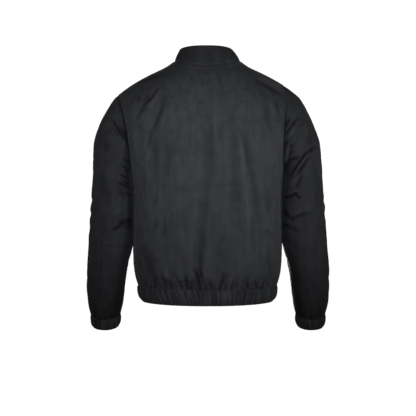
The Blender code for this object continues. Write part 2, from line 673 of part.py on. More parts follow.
def band_ring(height):
    """One level ring of the hem band, from the left front edge round the back to the right one."""
    angle = np.linspace(-math.pi / 2, 3 * math.pi / 2, RING_STEPS)
    power = 2 / body("squareness", height)
    x = body("half_width", height) * np.sign(np.cos(angle)) * np.abs(np.cos(angle)) ** power
    depth = np.where(np.sin(angle) > 0, body("back", height), body("front", height))
    y = depth * np.sign(np.sin(angle)) * np.abs(np.sin(angle)) ** power
    kept = (np.abs(x) >= FRONT_EDGE) | (y > 0)
    line = np.stack([x, y, np.full_like(x, height)], axis=-1)[kept]
    line[0, 0], line[-1, 0] = FRONT_EDGE, -FRONT_EDGE
    run = np.concatenate([[0], np.cumsum(np.linalg.norm(np.diff(line, axis=0), axis=1))])
    even = np.linspace(0, run[-1], HEM_RIDGES * COLUMNS_PER_RIDGE + 1)
    return np.stack([np.interp(even, run, line[:, i]) for i in range(3)], axis=-1)


def make_hem_band():
    """The gathered band. Returns the points of its rings, bottom up."""
    rings = np.array([band_ring(height) for height in BAND_LEVELS])
    walls = -WALL * np.where(
        rings[..., 1:2] > 0, body_normals(rings, 1), body_normals(rings, -1)
    )
    raised = ridges(HEM_RIDGES, RIDGE_HEIGHT)
    raised = np.append(raised, raised[0])
    from_end = 2 * (rings[1, :, 1] - rings[1, 0, 1]) + np.abs(rings[1, :, 0])
    ends = np.clip((from_end - PLAIN_END) / RIDGE_FADE, 0, 1)
    raised = np.array(BAND_RIDGE_SHARES)[:, None] * raised * ends
    outer = rings - raised[..., None] * unit(walls)
    wall_piece("hem_band", "elastic_band", sagged(outer), sagged(rings + walls))
    return rings


def strip_along(name, look, line, lines, depths):
    """A strip under the lines that run up the fronts, between two depths below the centre line."""
    inward = -line_normals(line)[:, None, :]
    rows = np.stack(lines, axis=1)
    return wall_piece(name, look, rows + depths[0] * inward, rows + depths[1] * inward)


def moved_to(line, x):
    return np.column_stack([np.full(len(line), x), line[:, 1], line[:, 2]])


def line_at(rows, x):
    """The points at one distance from the centre on rows that run out from it."""
    return np.array([[x, *(np.interp(x, row[:, 0], row[:, i]) for i in (1, 2))] for row in rows])


def line_normals(line):
    run = unit(np.gradient(line, axis=0))
    return np.stack([np.zeros(len(run)), -run[:, 2], run[:, 1]], axis=-1)


def box(size, middle):
    bm = bmesh.new()
    bmesh.ops.create_cube(bm, size=1.0)
    bmesh.ops.scale(bm, vec=size, verts=bm.verts)
    bmesh.ops.translate(bm, vec=middle, verts=bm.verts)
    return bm


def helper(name, bm, place):
    obj = as_object(name, "zip_metal", bm, place)
    obj.hide_render = True
    obj.display_type = "WIRE"
    return obj


def combine(obj, other, operation):
    modifier = obj.modifiers.new(other.name, "BOOLEAN")
    modifier.operation = operation
    modifier.object = other


def bridge_ring():
    """Half of a short pipe round the pull's axis, lying in the slider's own frame."""
    bm = bmesh.new()
    steps = 8
    loops = []
    for x in (-BRIDGE_HALF_WIDTH, BRIDGE_HALF_WIDTH):
        arcs = []
        for radius in (BRIDGE_OUTER, BRIDGE_INNER):
            arc = [
                (x, -radius * math.sin(math.pi * i / steps), radius * math.cos(math.pi * i / steps))
                for i in range(steps + 1)
            ]
            foot = PULL_STAND + SLIDER_PLATE / 2
            arcs.append([(x, foot, radius)] + arc + [(x, foot, -radius)])
        loops.append([bm.verts.new(point) for point in arcs[0] + arcs[1][::-1]])
    count = len(loops[0])
    for loop in loops:
        for i in range(count // 2 - 1):
            bm.faces.new((loop[i], loop[i + 1], loop[count - 2 - i], loop[count - 1 - i]))
    for i in range(count):
        j = (i + 1) % count
        bm.faces.new((loops[0][i], loops[0][j], loops[1][j], loops[1][i]))
    bmesh.ops.recalc_face_normals(bm, faces=bm.faces)
    return bm


def make_zip(line, tape_line):
    """The closed zip behind the centre front, its slider at the top, and the pull on its own hinge."""
    middle = WALL + ZIP_CLEARANCE + TAPE_THICKNESS / 2
    tape_depths = (middle - TAPE_THICKNESS / 2, middle + TAPE_THICKNESS / 2)
    chain_depths = (middle - CHAIN_THICKNESS / 2, middle + CHAIN_THICKNESS / 2)
    tape = [moved_to(line, CHAIN_HALF_WIDTH + SEAM_GAP), moved_to(line, FRONT_EDGE), tape_line]
    for name, flip in (("left", np.array), ("right", mirrored)):
        strip_along(f"zip_tape_{name}", "zip_tape", line, [flip(part) for part in tape], tape_depths)

    outward = line_normals(line)
    axis_height = SLIDER_TOP - SLIDER_LENGTH / 2
    on_line = np.array([np.interp(axis_height, line[:, 2], line[:, i]) for i in range(3)])
    out = unit(np.array([np.interp(axis_height, line[:, 2], outward[:, i]) for i in range(3)]))
    front_face = middle - CHAIN_THICKNESS / 2 - SEAM_GAP - SLIDER_PLATE
    axis_point = on_line + out * (PULL_STAND - front_face)
    tilt = math.atan2(out[2], -out[1])
    frame = Matrix.Translation(axis_point) @ Matrix.Rotation(-tilt, 4, "X")

    plate = (2 * SLIDER_HALF_WIDTH, SLIDER_PLATE, SLIDER_LENGTH)
    front_y = PULL_STAND + SLIDER_PLATE / 2
    back_y = front_y + SLIDER_PLATE + 2 * SEAM_GAP + CHAIN_THICKNESS
    post = (POST_WIDTH, back_y - front_y, POST_LENGTH)
    post_middle = (0, (front_y + back_y) / 2, SLIDER_LENGTH / 2 - POST_LENGTH / 2 - POST_SET_BACK)
    slider = as_object("zip_slider", "zip_metal", box(plate, (0, front_y, 0)), frame)
    combine(slider, helper("slider_back", box(plate, (0, back_y, 0)), frame), "UNION")
    combine(slider, helper("slider_post", box(post, post_middle), frame), "UNION")
    combine(slider, helper("slider_bridge", bridge_ring(), frame), "UNION")

    top = axis_height + SLIDER_LENGTH / 2 - POST_LENGTH - POST_SET_BACK - SEAM_GAP
    chain = line[line[:, 2] < top - CHAIN_TRIM]
    end = [np.interp(top, line[:, 2], line[:, i]) for i in range(3)]
    chain = np.vstack([chain, end])
    edges = [moved_to(chain, x) for x in (-CHAIN_HALF_WIDTH, CHAIN_HALF_WIDTH)]
    strip_along("zip_chain", "zip_metal", chain, edges, chain_depths)

    bar = PULL_THICKNESS / 2
    tab_length = PULL_LENGTH + bar
    bm = box((2 * PULL_HALF_WIDTH, PULL_THICKNESS, tab_length), (0, 0, bar - tab_length / 2))
    corners = [edge for edge in bm.edges if abs(edge.verts[0].co.y - edge.verts[1].co.y) > 1e-6]
    low = [edge for edge in corners if edge.verts[0].co.z < 0]
    bmesh.ops.bevel(bm, geom=low, offset=PULL_CORNER, segments=3, affect="EDGES")
    pull = as_object("zip_pull", "zip_metal", bm, frame)
    eye = (2 * EYE_HALF_WIDTH, 4 * PULL_THICKNESS, EYE_LENGTH)
    combine(pull, helper("pull_eye", box(eye, (0, 0, -bar - EYE_LENGTH / 2)), frame), "DIFFERENCE")


def main():
    clear_scene()
    seams = {name: arm_seam(name) for name in ARMHOLES}
    front, collar = make_body({name: seam[1] for name, seam in seams.items()})
    make_sleeves(seams)
    band = make_hem_band()
    runs = (band[:-1, :TAPE_COLUMNS], front[:-1, :TAPE_COLUMNS], collar[:, :TAPE_COLUMNS_COLLAR])
    line = moved_to(np.vstack([run[:, 0] for run in runs]), 0)
    make_zip(line, np.vstack([line_at(run, CHAIN_HALF_WIDTH + SEAM_GAP + TAPE_WIDTH) for run in runs]))


main()
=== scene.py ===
import math

import bmesh
import bpy
import numpy as np
from mathutils import Matrix, Vector, bvhtree, kdtree


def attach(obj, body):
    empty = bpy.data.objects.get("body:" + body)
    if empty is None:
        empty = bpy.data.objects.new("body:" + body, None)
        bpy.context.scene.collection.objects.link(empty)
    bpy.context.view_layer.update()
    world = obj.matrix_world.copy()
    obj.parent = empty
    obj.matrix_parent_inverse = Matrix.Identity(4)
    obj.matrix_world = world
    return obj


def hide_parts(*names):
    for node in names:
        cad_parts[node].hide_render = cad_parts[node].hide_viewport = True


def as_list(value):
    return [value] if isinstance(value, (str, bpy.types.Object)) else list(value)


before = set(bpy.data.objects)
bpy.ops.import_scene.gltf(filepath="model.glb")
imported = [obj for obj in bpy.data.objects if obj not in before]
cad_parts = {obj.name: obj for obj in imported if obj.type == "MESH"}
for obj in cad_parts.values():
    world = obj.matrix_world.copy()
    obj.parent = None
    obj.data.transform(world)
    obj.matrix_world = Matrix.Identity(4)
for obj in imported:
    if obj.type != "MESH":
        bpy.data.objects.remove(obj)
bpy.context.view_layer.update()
scene, ops = bpy.context.scene, bmesh.ops


class Socket:
    # one output of a node, with arithmetic that adds Math nodes
    def __init__(self, finish, out):
        self.finish, self.out = finish, out

    def maths(self, operation, *others):
        return self.finish.maths(operation, self, *others)

    def wave(self):  # a smooth wave from 0 to 1, one for each whole number
        return (self * (2 * math.pi)).maths("SINE") * 0.5 + 0.5

    def clip(self):
        return self.maths("MAXIMUM", 0.0).maths("MINIMUM", 1.0)

    def over(self, low, high):  # 0 below low, 1 above high
        return ((self - low) / (high - low)).clip()


signs = {"add": "ADD", "sub": "SUBTRACT", "mul": "MULTIPLY", "truediv": "DIVIDE", "pow": "POWER"}
for sign, operation in signs.items():  # with the number on either side
    setattr(Socket, f"__{sign}__", lambda a, b, way=operation: a.finish.maths(way, a, b))
    setattr(Socket, f"__r{sign}__", lambda a, b, way=operation: a.finish.maths(way, b, a))


class Finish:
    # a material whose surface is one Principled shader
    def __init__(self, name, **constants):
        self.material = bpy.data.materials.new(name)
        self.material.use_nodes = True
        self.tree = self.material.node_tree
        self.surface = self.tree.nodes["Principled BSDF"]
        for socket, value in constants.items():
            self.plug(self.surface.inputs[socket.replace("_", " ")], value)
        self.place = self.node("TexCoord", out="Object")

    def plug(self, socket, value):
        if isinstance(value, Socket):
            self.tree.links.new(value.out, socket)
        elif value is not None:
            if isinstance(value, tuple) and len(value) == 3 and socket.type == "RGBA":
                value = (*value, 1.0)
            socket.default_value = value

    def node(self, kind, settings=None, *values, out=0, **named):
        node = self.tree.nodes.new("ShaderNode" + kind)
        for key, value in (settings or {}).items():
            setattr(node, key, value)
        for index, value in enumerate(values):
            self.plug(node.inputs[index], value)
        for key, value in named.items():
            self.plug(node.inputs[key.replace("_", " ")], value)
        return Socket(self, node.outputs[out])

    def maths(self, operation, *values):
        return self.node("Math", {"operation": operation}, *values)

    def noise(self, scale, detail=2.0, place=None, roughness=0.55):
        place = place or self.place
        return self.node("TexNoise", None, place, Scale=scale, Detail=detail, Roughness=roughness)

    def stretched(self, *scale):
        return self.node("Mapping", {"vector_type": "POINT"}, self.place, Scale=scale)

    def axes(self):
        x = self.node("SeparateXYZ", None, self.place)
        return [Socket(self, out) for out in x.out.node.outputs]

    def attribute(self, name):
        return self.node("Attribute", {"attribute_name": name}, out="Fac")

    def mix(self, factor, first, second):
        made = self.node("Mix", {"data_type": "RGBA"}, out=2)
        for index, value in ((0, factor), (6, first), (7, second)):
            self.plug(made.out.node.inputs[index], value)
        return made

    def finish(self, colour, roughness, bumps):
        normal = None
        for height, depth in bumps:
            normal = self.node("Bump", Strength=1, Distance=depth, Height=height, Normal=normal)
        looks = {"Base Color": colour, "Roughness": roughness, "Normal": normal}
        for name, value in looks.items():
            self.plug(self.surface.inputs[name], value)
        return self.material


cloth = {
    "deep": (0.0135, 0.0142, 0.0158),
    "pale": (0.0300, 0.0312, 0.0342),
    "worn": (0.048, 0.049, 0.052),
    "lint": (0.150, 0.150, 0.155),
    "twillPitch": 0.0011,
    "threadPitch": 0.0006,
    "drift": 0.004,
    "depths": (0.0016, 0.0003, 0.0001),  # of lumps, slubs and the weave
    "roughness": 0.70,
    "shine": 0.14,
    "sheen": 0.05,
    "sheenRoughness": 0.45,
    "sheenTint": (0.80, 0.84, 0.92),
    # ridge and shut are the shares of the painted highlight on ridges and the painted shade in
    # folds, seams and nooks
    "mix": {"weave": 0.30, "worn": 0.75, "lint": 0.55, "ridge": 0.45, "shut": 0.80},
}
tape = {
    "dark": (0.010, 0.010, 0.011),
    "light": (0.030, 0.030, 0.033),
    "pitches": {"turn": 0.0016, "chevron": 0.0009, "rib": 0.00055},
}
sewing = {"dark": (0.016, 0.017, 0.019), "light": (0.042, 0.044, 0.047), "ply": 0.00045}
metals = {
    "gunmetal": {"dark": (0.10, 0.10, 0.105), "light": (0.26, 0.26, 0.27), "rough": 0.32},
    "rubbedGunmetal": {"dark": (0.16, 0.16, 0.165), "light": (0.36, 0.36, 0.37), "rough": 0.26},
}


def times(colour, factor):
    return tuple(c * factor for c in colour)


# a twill finish; its factor on colour, sheen and shine is painted shade for pieces in less light
def clothFinish(name, paintedShade):
    look = Finish(
        name,
        Sheen_Weight=cloth["sheen"] * paintedShade,
        Sheen_Roughness=cloth["sheenRoughness"],
        Sheen_Tint=cloth["sheenTint"],
        Specular_IOR_Level=cloth["shine"] * paintedShade,
    )
    x, y, z = look.axes()
    drift = look.noise(9.0) * cloth["drift"]
    twill = ((x + y * 0.9 + z + drift) / cloth["twillPitch"]).wave() ** 1.5
    threads = ((x + y - z + drift) / cloth["threadPitch"]).wave()
    weave = twill * 0.7 + twill * threads * 0.3
    slub = look.noise(260.0, 3.0)
    mottle = look.noise(38.0, 4.0, roughness=0.65)
    streaks = look.noise(1.0, 3.0, look.stretched(70.0, 70.0, 14.0))
    patches = ((look.noise(7.0), 0.9), (mottle, 1.5), (streaks, 1.4), (slub, 0.8))
    tone = sum(((patch - 0.5) * share for patch, share in patches), 0.5).clip()
    worn = look.attribute("wear")  # rims and ridges that rub
    lint = look.noise(900.0, 1.0).over(0.735, 0.76) * look.noise(60.0).over(0.5, 0.7)
    # painted light from the cloth's shape: shade where shut is above 0, a highlight where it is
    # below 0
    shut = look.attribute("shut")  # above 0 in narrow folds, below 0 on ridges
    dark = shut.clip()
    deep, pale = times(cloth["deep"], paintedShade), times(cloth["pale"], paintedShade)
    share = cloth["mix"]
    colour = look.mix(tone, deep, pale)
    colour = look.mix(weave * share["weave"], colour, times(pale, 1.25))
    wornShare = (worn * (mottle * 1.2 + 0.1)).clip() * share["worn"]
    colour = look.mix(wornShare, colour, cloth["worn"])
    colour = look.mix(lint * share["lint"], colour, cloth["lint"])
    # painted highlight on ridges, then painted shade in narrow folds, along seams and in nooks
    colour = look.mix((shut * -1).clip() * share["ridge"], colour, times(pale, 1.7))
    colour = look.mix(dark * share["shut"], colour, times(deep, 0.2))
    roughness = cloth["roughness"] + (mottle - 0.5) * 0.16 + (1 - weave) * 0.06
    roughness = (roughness - worn * 0.05 + dark * 0.2).clip()
    lumps = look.noise(34.0, 3.0)
    return look.finish(colour, roughness, zip((lumps, slub, weave), cloth["depths"]))


def tapeFinish():
    look = Finish("zipTapeWeave", Sheen_Weight=0.1, Sheen_Roughness=0.5, Specular_IOR_Level=0.3)
    x, _, z = look.axes()
    side, pitches = x.maths("ABSOLUTE"), tape["pitches"]
    chevron = (z + side.maths("PINGPONG", pitches["turn"])) / pitches["chevron"]
    weave = chevron.wave() * 0.6 + (side / pitches["rib"]).wave() * 0.4
    fuzz = look.noise(700.0)
    colour = look.mix(weave * 0.7 + fuzz * 0.3, tape["dark"], tape["light"])
    return look.finish(colour, 0.78 + fuzz * 0.1, [(fuzz, 0.00008), (weave, 0.00014)])


def threadFinish():
    look = Finish("polishedThread", Sheen_Weight=0.2, Sheen_Roughness=0.4, Specular_IOR_Level=0.5)
    x, y, z = look.axes()
    ply = ((x + y + z) / sewing["ply"]).wave()
    colour = look.mix(ply * 0.6 + look.noise(300.0) * 0.4, sewing["dark"], sewing["light"])
    return look.finish(colour, 0.50 + ply * 0.12, [(ply, 0.00008)])


def metalFinish(name, dark, light, rough):
    look = Finish(name, Metallic=1.0)
    worn = look.noise(420.0, 4.0, roughness=0.7)
    cloud = look.noise(90.0, 3.0)
    scratch = look.noise(1.0, 2.0, look.stretched(3000.0, 300.0, 300.0))
    colour = look.mix((worn * 0.6 + cloud * 0.5 - 0.05).clip(), dark, light)
    roughness = rough + (worn - 0.5) * 0.20 + scratch.over(0.55, 0.75) * 0.10
    return look.finish(colour, roughness.clip(), [(worn, 0.00004), (scratch, 0.00002)])


def floorFinish():
    white = (1.0, 1.0, 1.0)
    look = Finish("paleBoard", Specular_IOR_Level=0.0, Emission_Color=white, Emission_Strength=1.0)
    grain = look.noise(3.0, 3.0)
    colour = look.mix(grain, (0.90, 0.90, 0.90), (0.93, 0.93, 0.93))
    return look.finish(colour, 0.85 + grain * 0.05, [(look.noise(60.0), 0.0002)])


# One twill, darkened per piece: painted shade on the sleeves and collar, which lie in less light
# than the back, and a trace of it on the band and cuffs
twill = clothFinish("blackTwill", 1.0)
sleeveTwill = clothFinish("blackTwillSleeve", 0.66)
collarTwill = clothFinish("blackTwillCollar", 0.60)
bandTwill = clothFinish("gatheredTwill", 0.98)
cuffTwill = clothFinish("gatheredTwillCuff", 0.98)
tapeWeave = tapeFinish()
thread = threadFinish()
gunmetal, brightGunmetal = (metalFinish(name, **look) for name, look in metals.items())
print("finishes made")


def readCopy(node):
    # a copy of a node's own mesh, its corners merged and its triangles paired again
    bm = bmesh.new()
    bm.from_mesh(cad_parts[node].data)
    ops.remove_doubles(bm, verts=bm.verts, dist=2e-5)
    ops.join_triangles(bm, faces=bm.faces, angle_face_threshold=1.0, angle_shape_threshold=1.2)
    return bm


def meshFrom(name, bm):
    mesh = bpy.data.meshes.new(name)
    bm.to_mesh(mesh)
    bm.free()
    return mesh


def placed(name, data):
    made = bpy.data.objects.new(name, data)
    scene.collection.objects.link(made)
    return made


def dressed(name, mesh, finish, body, smoothAngle, node):
    # the mesh as a finished piece on its body, in place of a node
    mesh.materials.clear()
    mesh.materials.append(finish)
    mesh.shade_smooth()
    mesh.set_sharp_from_angle(angle=math.radians(smoothAngle))
    mesh.update()
    piece = placed(name, mesh)
    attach(piece, body)
    if node:
        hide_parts(node)
    print(name, len(mesh.polygons), "faces")
    return piece


def rimEdges(bm, rimAngle):
    return [e for e in bm.edges if e.is_manifold and e.calc_face_angle() > rimAngle]


def rounded(bm, levels, rimAngle):
    # the same shape rounded between its rims, which stay sharp
    sharp = bm.edges.layers.float.get("crease_edge") or bm.edges.layers.float.new("crease_edge")
    for edge in rimEdges(bm, rimAngle):
        edge[sharp] = 1.0
    mesh = meshFrom("coarse", bm)
    maker = placed("coarse", mesh)
    smoother = maker.modifiers.new("smoother", "SUBSURF")
    smoother.levels = smoother.render_levels = levels
    graph = bpy.context.evaluated_depsgraph_get()
    fine = bpy.data.meshes.new_from_object(maker.evaluated_get(graph), depsgraph=graph)
    bpy.data.objects.remove(maker)
    bpy.data.meshes.remove(mesh)
    return fine


def isTall(edge, longest):
    a, b = (v.co for v in edge.verts)
    return (a - b).length > longest and abs(a.z - b.z) > 0.6 * (a - b).length


def fineMesh(node, size, outOf, flip):
    # the copy, split where its quads are long, rounded, its outer skin split once more; also
    # points along its rims
    bm = readCopy(node)
    tall = [e for e in bm.edges if isTall(e, size["longest"])]
    ops.subdivide_edges(bm, edges=tall, cuts=1, use_grid_fill=True)
    if size["seamCuts"]:  # finer rows beside the upper seam, where the cloth is sunk
        seam = {v for e in rimEdges(bm, size["rimAngle"]) for v in e.verts if v.co.z > -0.5}
        beside = [e for e in bm.edges if (e.verts[0] in seam) != (e.verts[1] in seam)]
        ops.subdivide_edges(bm, edges=beside, cuts=size["seamCuts"], use_grid_fill=True)
    rims = []
    for edge in rimEdges(bm, size["rimAngle"]):
        a, b = (v.co for v in edge.verts)
        steps = max(2, int((a - b).length / 0.003))
        rims += [tuple(a.lerp(b, i / steps)) for i in range(steps)]
    fine = rounded(bm, size["levels"], size["rimAngle"])
    bm = bmesh.new()
    bm.from_mesh(fine)
    middles = np.array([f.calc_center_median() for f in bm.faces]) * flip
    facing = (outOf(middles) * np.array([f.normal for f in bm.faces]) * flip).sum(axis=1)
    outer = {e for f, way in zip(bm.faces, facing) if way > 0.3 for e in f.edges}
    ops.subdivide_edges(bm, edges=list(outer), cuts=1, use_grid_fill=True)
    bm.to_mesh(fine)
    bm.free()
    return fine, rims


def pointsOf(mesh):
    points = np.empty(len(mesh.vertices) * 3)
    mesh.vertices.foreach_get("co", points)
    return points.reshape(-1, 3)


def distanceTo(points, rims):
    tree = kdtree.KDTree(len(rims))
    for index, rim in enumerate(rims):
        tree.insert(rim, index)
    tree.balance()
    return np.array([tree.find(p)[2] for p in points])


def unit(vectors):
    return vectors / np.maximum(np.linalg.norm(vectors, axis=-1, keepdims=True), 1e-9)


def capped(value):
    return np.clip(value, 0, 1)


def smoothStep(value, low, high):
    t = capped((value - low) / (high - low))
    return t * t * (3 - 2 * t)


def within(value, a, b, c, d):
    # 0 up to a, 1 from b to c, and 0 again from d
    return smoothStep(value, a, b) * (1 - smoothStep(value, c, d))


def hump(value, width):
    # 1 at 0, falling off smoothly to both sides
    return np.exp(-((value / width) ** 2))


def shadeBy(distance, share, width):
    return share * hump(distance, width)


def rolling(points, size, seed, count=14):
    # soft unevenness of about one size, between -1 and 1
    rng = np.random.default_rng(seed)
    total = np.zeros(len(points))
    for _ in range(count):
        way = rng.normal(size=3)
        way *= (2 * math.pi / size) * rng.uniform(0.7, 1.3) / np.linalg.norm(way)
        total += np.sin(points @ way + rng.uniform(0, 6.28))
    return total / math.sqrt(count * 2)


def unevenness(points, away, rolls, pucker):
    # hollows that fade out towards the seams, and puckers close beside them
    total = 0
    for depth, size, seed, reach in rolls:
        total += depth * rolling(points, size, seed) * smoothStep(away, 0.0, reach)
    depth, size, seed, reach = pucker
    near = hump(away, reach) * smoothStep(away, 0.0, 0.003)
    return total + depth * near * rolling(points, size, seed)


def crease(u, z, fromU, fromZ, toU, toZ, depth, width, bow=0.0, skew=0.0):
    # depth of one crease: full in its middle, with soft lips. Then how shut it is, which gives
    # painted shade in narrow deep creases and a painted highlight on the ridges.
    run = np.array([toU - fromU, toZ - fromZ])
    length = np.linalg.norm(run)
    du, dz = u - fromU, z - fromZ
    near = capped((du * run[0] + dz * run[1]) / length**2)
    ends = np.sin(math.pi * near) ** 0.6
    offset = (du * run[1] - dz * run[0]) / length - bow * np.sin(math.pi * near)
    offset = offset / (width * (1 + skew * np.sign(offset)))
    shut = np.clip(depth * ends / (0.8 * width), -0.6, 1.0) * hump(offset, 1 / 1.15)
    return depth * ends * (1.25 * hump(offset, 1) - 0.30 * hump(offset, math.sqrt(5))), shut


def creases(u, z, table):
    # depth in metres, and how shut, from places in metres and a table in millimetres
    total = np.sum([crease(u * 1000, z * 1000, *row) for row in table], axis=0)
    return total * [[0.001], [1]]


def gathers(across, above, table, scale=1.0):
    # pleats that stand on a gathered seam; scale is how many millimetres one step across is
    above = above * 1000
    total = np.zeros((2, len(across)))
    for at, depth, width, rise, lean in table:
        up = capped(above / rise)
        fade = depth * (1 - up) ** 1.4 * capped(0.15 + above / 10)
        offset = (across - at - lean * above) / (width * (1 + 0.9 * up))
        total[0] += fade * (1.2 * hump(offset, 1) - 0.35 * hump(offset, 2))
        # painted shade in the hollow of each pleat
        total[1] += fade / (0.8 * width * scale) * hump(offset, 1 / 1.1)
    return total * [[0.001], [1]]


# Creases of the body in millimetres: start across, start height, end across, end height, depth,
# half width, and for some a bow and a skew
backCreases = (
    (0, -115, 4, -350, 4.4, 14, 3, 0.2), (4, -310, 22, -590, 4, 13, -3, -0.2),
    (20, -510, 21, -606, 2.2, 6), (34, -560, 24, -606, 2, 5),
    (-66, -160, -80, -450, 3.6, 14, 3, 0.2), (-94, -175, -126, -330, 4.2, 11, 0, 0.3),
    (-124, -290, -142, -450, 3.4, 11, 2, 0.2), (-88, -190, -104, -350, -2.2, 8),
    (-100, -310, -119, -500, -3, 8, 1), (-20, -90, -23, -250, -1.8, 9),
    (-50, -160, -54, -300, -1.4, 10), (-34, -140, -33, -220, 1.4, 9),
    (134, -63, 173, -111, 3.4, 3.6, 1), (124, -69, 161, -117, -2, 5, 1),
    (164, -78, 200, -154, 3.6, 7, 2, 0.3), (118, -84, 163, -198, 4, 7, 4, 0.3),
    (158, -184, 173, -252, 2.8, 6, 2), (206, -60, 118, -27, 2.2, 4.5, 1),
    (196, -88, 182, -104, 2.2, 8), (-126, -40, -206, -86, 2.8, 6, 1),
    (-138, -34, -216, -76, -1.8, 5, 1), (-186, -98, -202, -150, 2, 5),
    (150, -190, 146, -340, 2.6, 11), (118, -190, 112, -330, 2.6, 13, 0, 0.2),
    (166, -200, 170, -280, -2, 8), (200, -180, 200, -300, -1.4, 10),
    (-158, -110, -185, -200, 2.6, 10, -3), (-150, -60, -170, -150, 1.6, 10),
    (52, -470, 48, -606, -1.6, 10), (62, -575, 57, -612, 2, 4.5), (40, -592, 51, -612, 1.8, 4),
    (192, -500, 150, -606, 6.2, 16, 2, 0.2), (204, -520, 176, -580, 3, 8),
    (134, -588, 90, -620, 2.3, 5.5, 2), (148, -584, 142, -626, 1.8, 3.5),
    (99, -574, 66, -626, 1.9, 3.6, 2), (62, -590, 47, -630, 2.2, 3),
    (37, -598, 50, -628, 1.8, 2.6), (41, -556, 18, -630, 2.4, 3.4, 2),
    (24, -560, 2, -628, 2.3, 3.4, 1), (6, -586, -19, -628, 2, 3.2, 1),
    (-47, -584, -26, -630, 2.9, 3.4, 1), (-34, -566, -50, -590, 1.5, 3.6),
    (-74, -590, -64, -626, 1.8, 3), (-128, -594, -140, -626, 1.9, 3.2),
    (-164, -586, -145, -628, 2.2, 3.4), (-106, -598, -118, -624, 1.6, 2.8),
    (82, -604, 60, -598, 1.5, 2.8), (120, -560, 112, -600, -1.5, 5),
    (-88, -540, -94, -600, -1.5, 8), (82, -520, 74, -596, -1.2, 6),
    (-172, -520, -178, -600, 3, 10), (140, -340, 147, -400, 1.4, 6),
    (120, -415, 118, -475, 1.4, 5), (-52, -470, -46, -590, 1.8, 10, 2),
    (-160, -340, -172, -420, 1.8, 8), (-162, -455, -182, -482, 1.6, 6),
    (150, -330, 12, -352, 0.9, 6, -4), (-12, -346, -130, -328, 0.9, 6, 4),
    (50, -28, 36, -52, 1.2, 5), (18, -30, 12, -58, 1.1, 5), (-30, -30, -40, -55, 1.2, 5),
)
frontCreases = (
    (58, -190, 64, -400, 3.6, 12, 3, 0.2), (76, -380, 86, -570, 4.2, 11, -2),
    (140, -160, 122, -420, 4, 13, 3, 0.2), (118, -62, 160, -220, 4, 10, 3, 0.2),
    (150, -430, 140, -575, 2.6, 10), (34, -300, 30, -520, 2, 11), (95, -80, 116, -170, 2, 9),
    (-64, -210, -72, -470, 4.4, 12, -3, 0.2), (-84, -450, -94, -585, 3.4, 10),
    (-138, -160, -150, -400, 4, 12, 0, 0.2), (-118, -66, -158, -225, 3.8, 10, -2, 0.2),
    (-36, -260, -30, -420, 1.8, 12), (-128, -420, -122, -560, 2.2, 10),
    (-98, -90, -112, -180, 1.8, 8),
)
# Gathers in millimetres: across, depth, half width, rise, and how they lean
backGathers = (
    (180, 2.2, 4, 30, 0.05), (166, 3.4, 4.8, 52, 0.1), (152, 2.6, 4, 34, 0.12),
    (140, 3.6, 5, 50, 0.18), (126, 2.4, 4, 30, 0.2), (112, 4, 5.4, 66, 0.26),
    (97, 3, 4.4, 40, 0.22), (84, 2.2, 4, 28, 0.1), (70, 3, 4.6, 44, 0), (56, 4.2, 5.2, 60, 0.06),
    (43, 2.4, 4, 32, 0.04), (30, 3, 4.4, 40, 0.12), (19, 4.2, 5, 62, 0.1), (4, 2.4, 4, 30, 0.02),
    (-9, 3, 4.4, 36, -0.06), (-21, 2.2, 3.8, 26, 0), (-34, 4.2, 4.8, 52, -0.18),
    (-49, 3.6, 4.4, 48, 0.02), (-64, 2.4, 4, 30, 0.08), (-78, 3.4, 4.8, 46, 0.05),
    (-92, 2.4, 3.8, 28, 0), (-106, 3.8, 5, 58, -0.04), (-120, 2.6, 4.2, 34, -0.06),
    (-134, 3.6, 4.8, 48, -0.08), (-149, 2.6, 4, 32, -0.1), (-163, 3.4, 4.6, 46, -0.08),
    (-178, 2.4, 4, 30, -0.05),
)
frontGathers = (
    (24, 2.2, 4, 30, 0.02), (37, 3.4, 4.6, 48, 0.05), (52, 2.6, 4.2, 34, 0),
    (66, 4, 5.2, 60, 0.08), (82, 2.6, 4, 30, 0.06), (96, 3.6, 4.8, 50, 0.02),
    (111, 2.4, 4, 32, 0.1), (125, 3.8, 5, 56, 0.08), (140, 2.6, 4.2, 34, 0.05),
    (155, 3.6, 4.6, 50, 0.06), (169, 2.6, 4, 32, 0.03), (182, 2.2, 3.8, 28, 0),
)
sideGathers = (
    (45, 3, 5, 50, 0.05), (18, 3.6, 5, 60, 0), (-14, 3, 4.5, 45, 0), (-42, 3.6, 5, 55, 0),
)
hemSeam = {"height": -0.610, "sag": 0.0062, "back": 0.11, "from": -0.306}
body = {
    "halfWidth": 0.205,
    "halfDepth": 0.125,
    "neckHalf": 0.0927,
    "rolls": ((0.0007, 0.060, 3, 0.030), (0.0003, 0.021, 4, 0.015)),  # depth, size, seed, reach
    "pucker": (0.0002, 0.012, 5, 0.009),
    "seamShade": (0.35, 0.002),
    "hemShade": (0.7, 0.0032),
    "resting": (-0.52, -0.48, -0.32, -0.29),  # heights where the sleeves lie against it
    "pressed": 0.0004,
}
# Painted shade under the collar and along the shoulders, where the cloth turns up, away from the
# light
shoulders = {"height": -0.004, "slope": 0.66, "reach": 0.055, "wider": (0.025, 0.055), "dark": 0.50}
view = {"x": -0.0014, "away": 3.4, "height": -0.375, "lens": 106.55, "shift": -8 / 416}


def hemAbove(points):
    # height above the hem seam, which lies lower at the back
    behind = capped(points[:, 1] / hemSeam["back"]) ** 2
    down = capped((hemSeam["from"] - points[:, 2]) / (hemSeam["from"] - hemSeam["height"]))
    return points[:, 2] - hemSeam["height"] + hemSeam["sag"] * behind * down


def levelOut(points):
    return unit(points * np.array([1 / body["halfWidth"] ** 2, 1 / body["halfDepth"] ** 2, 0.0]))


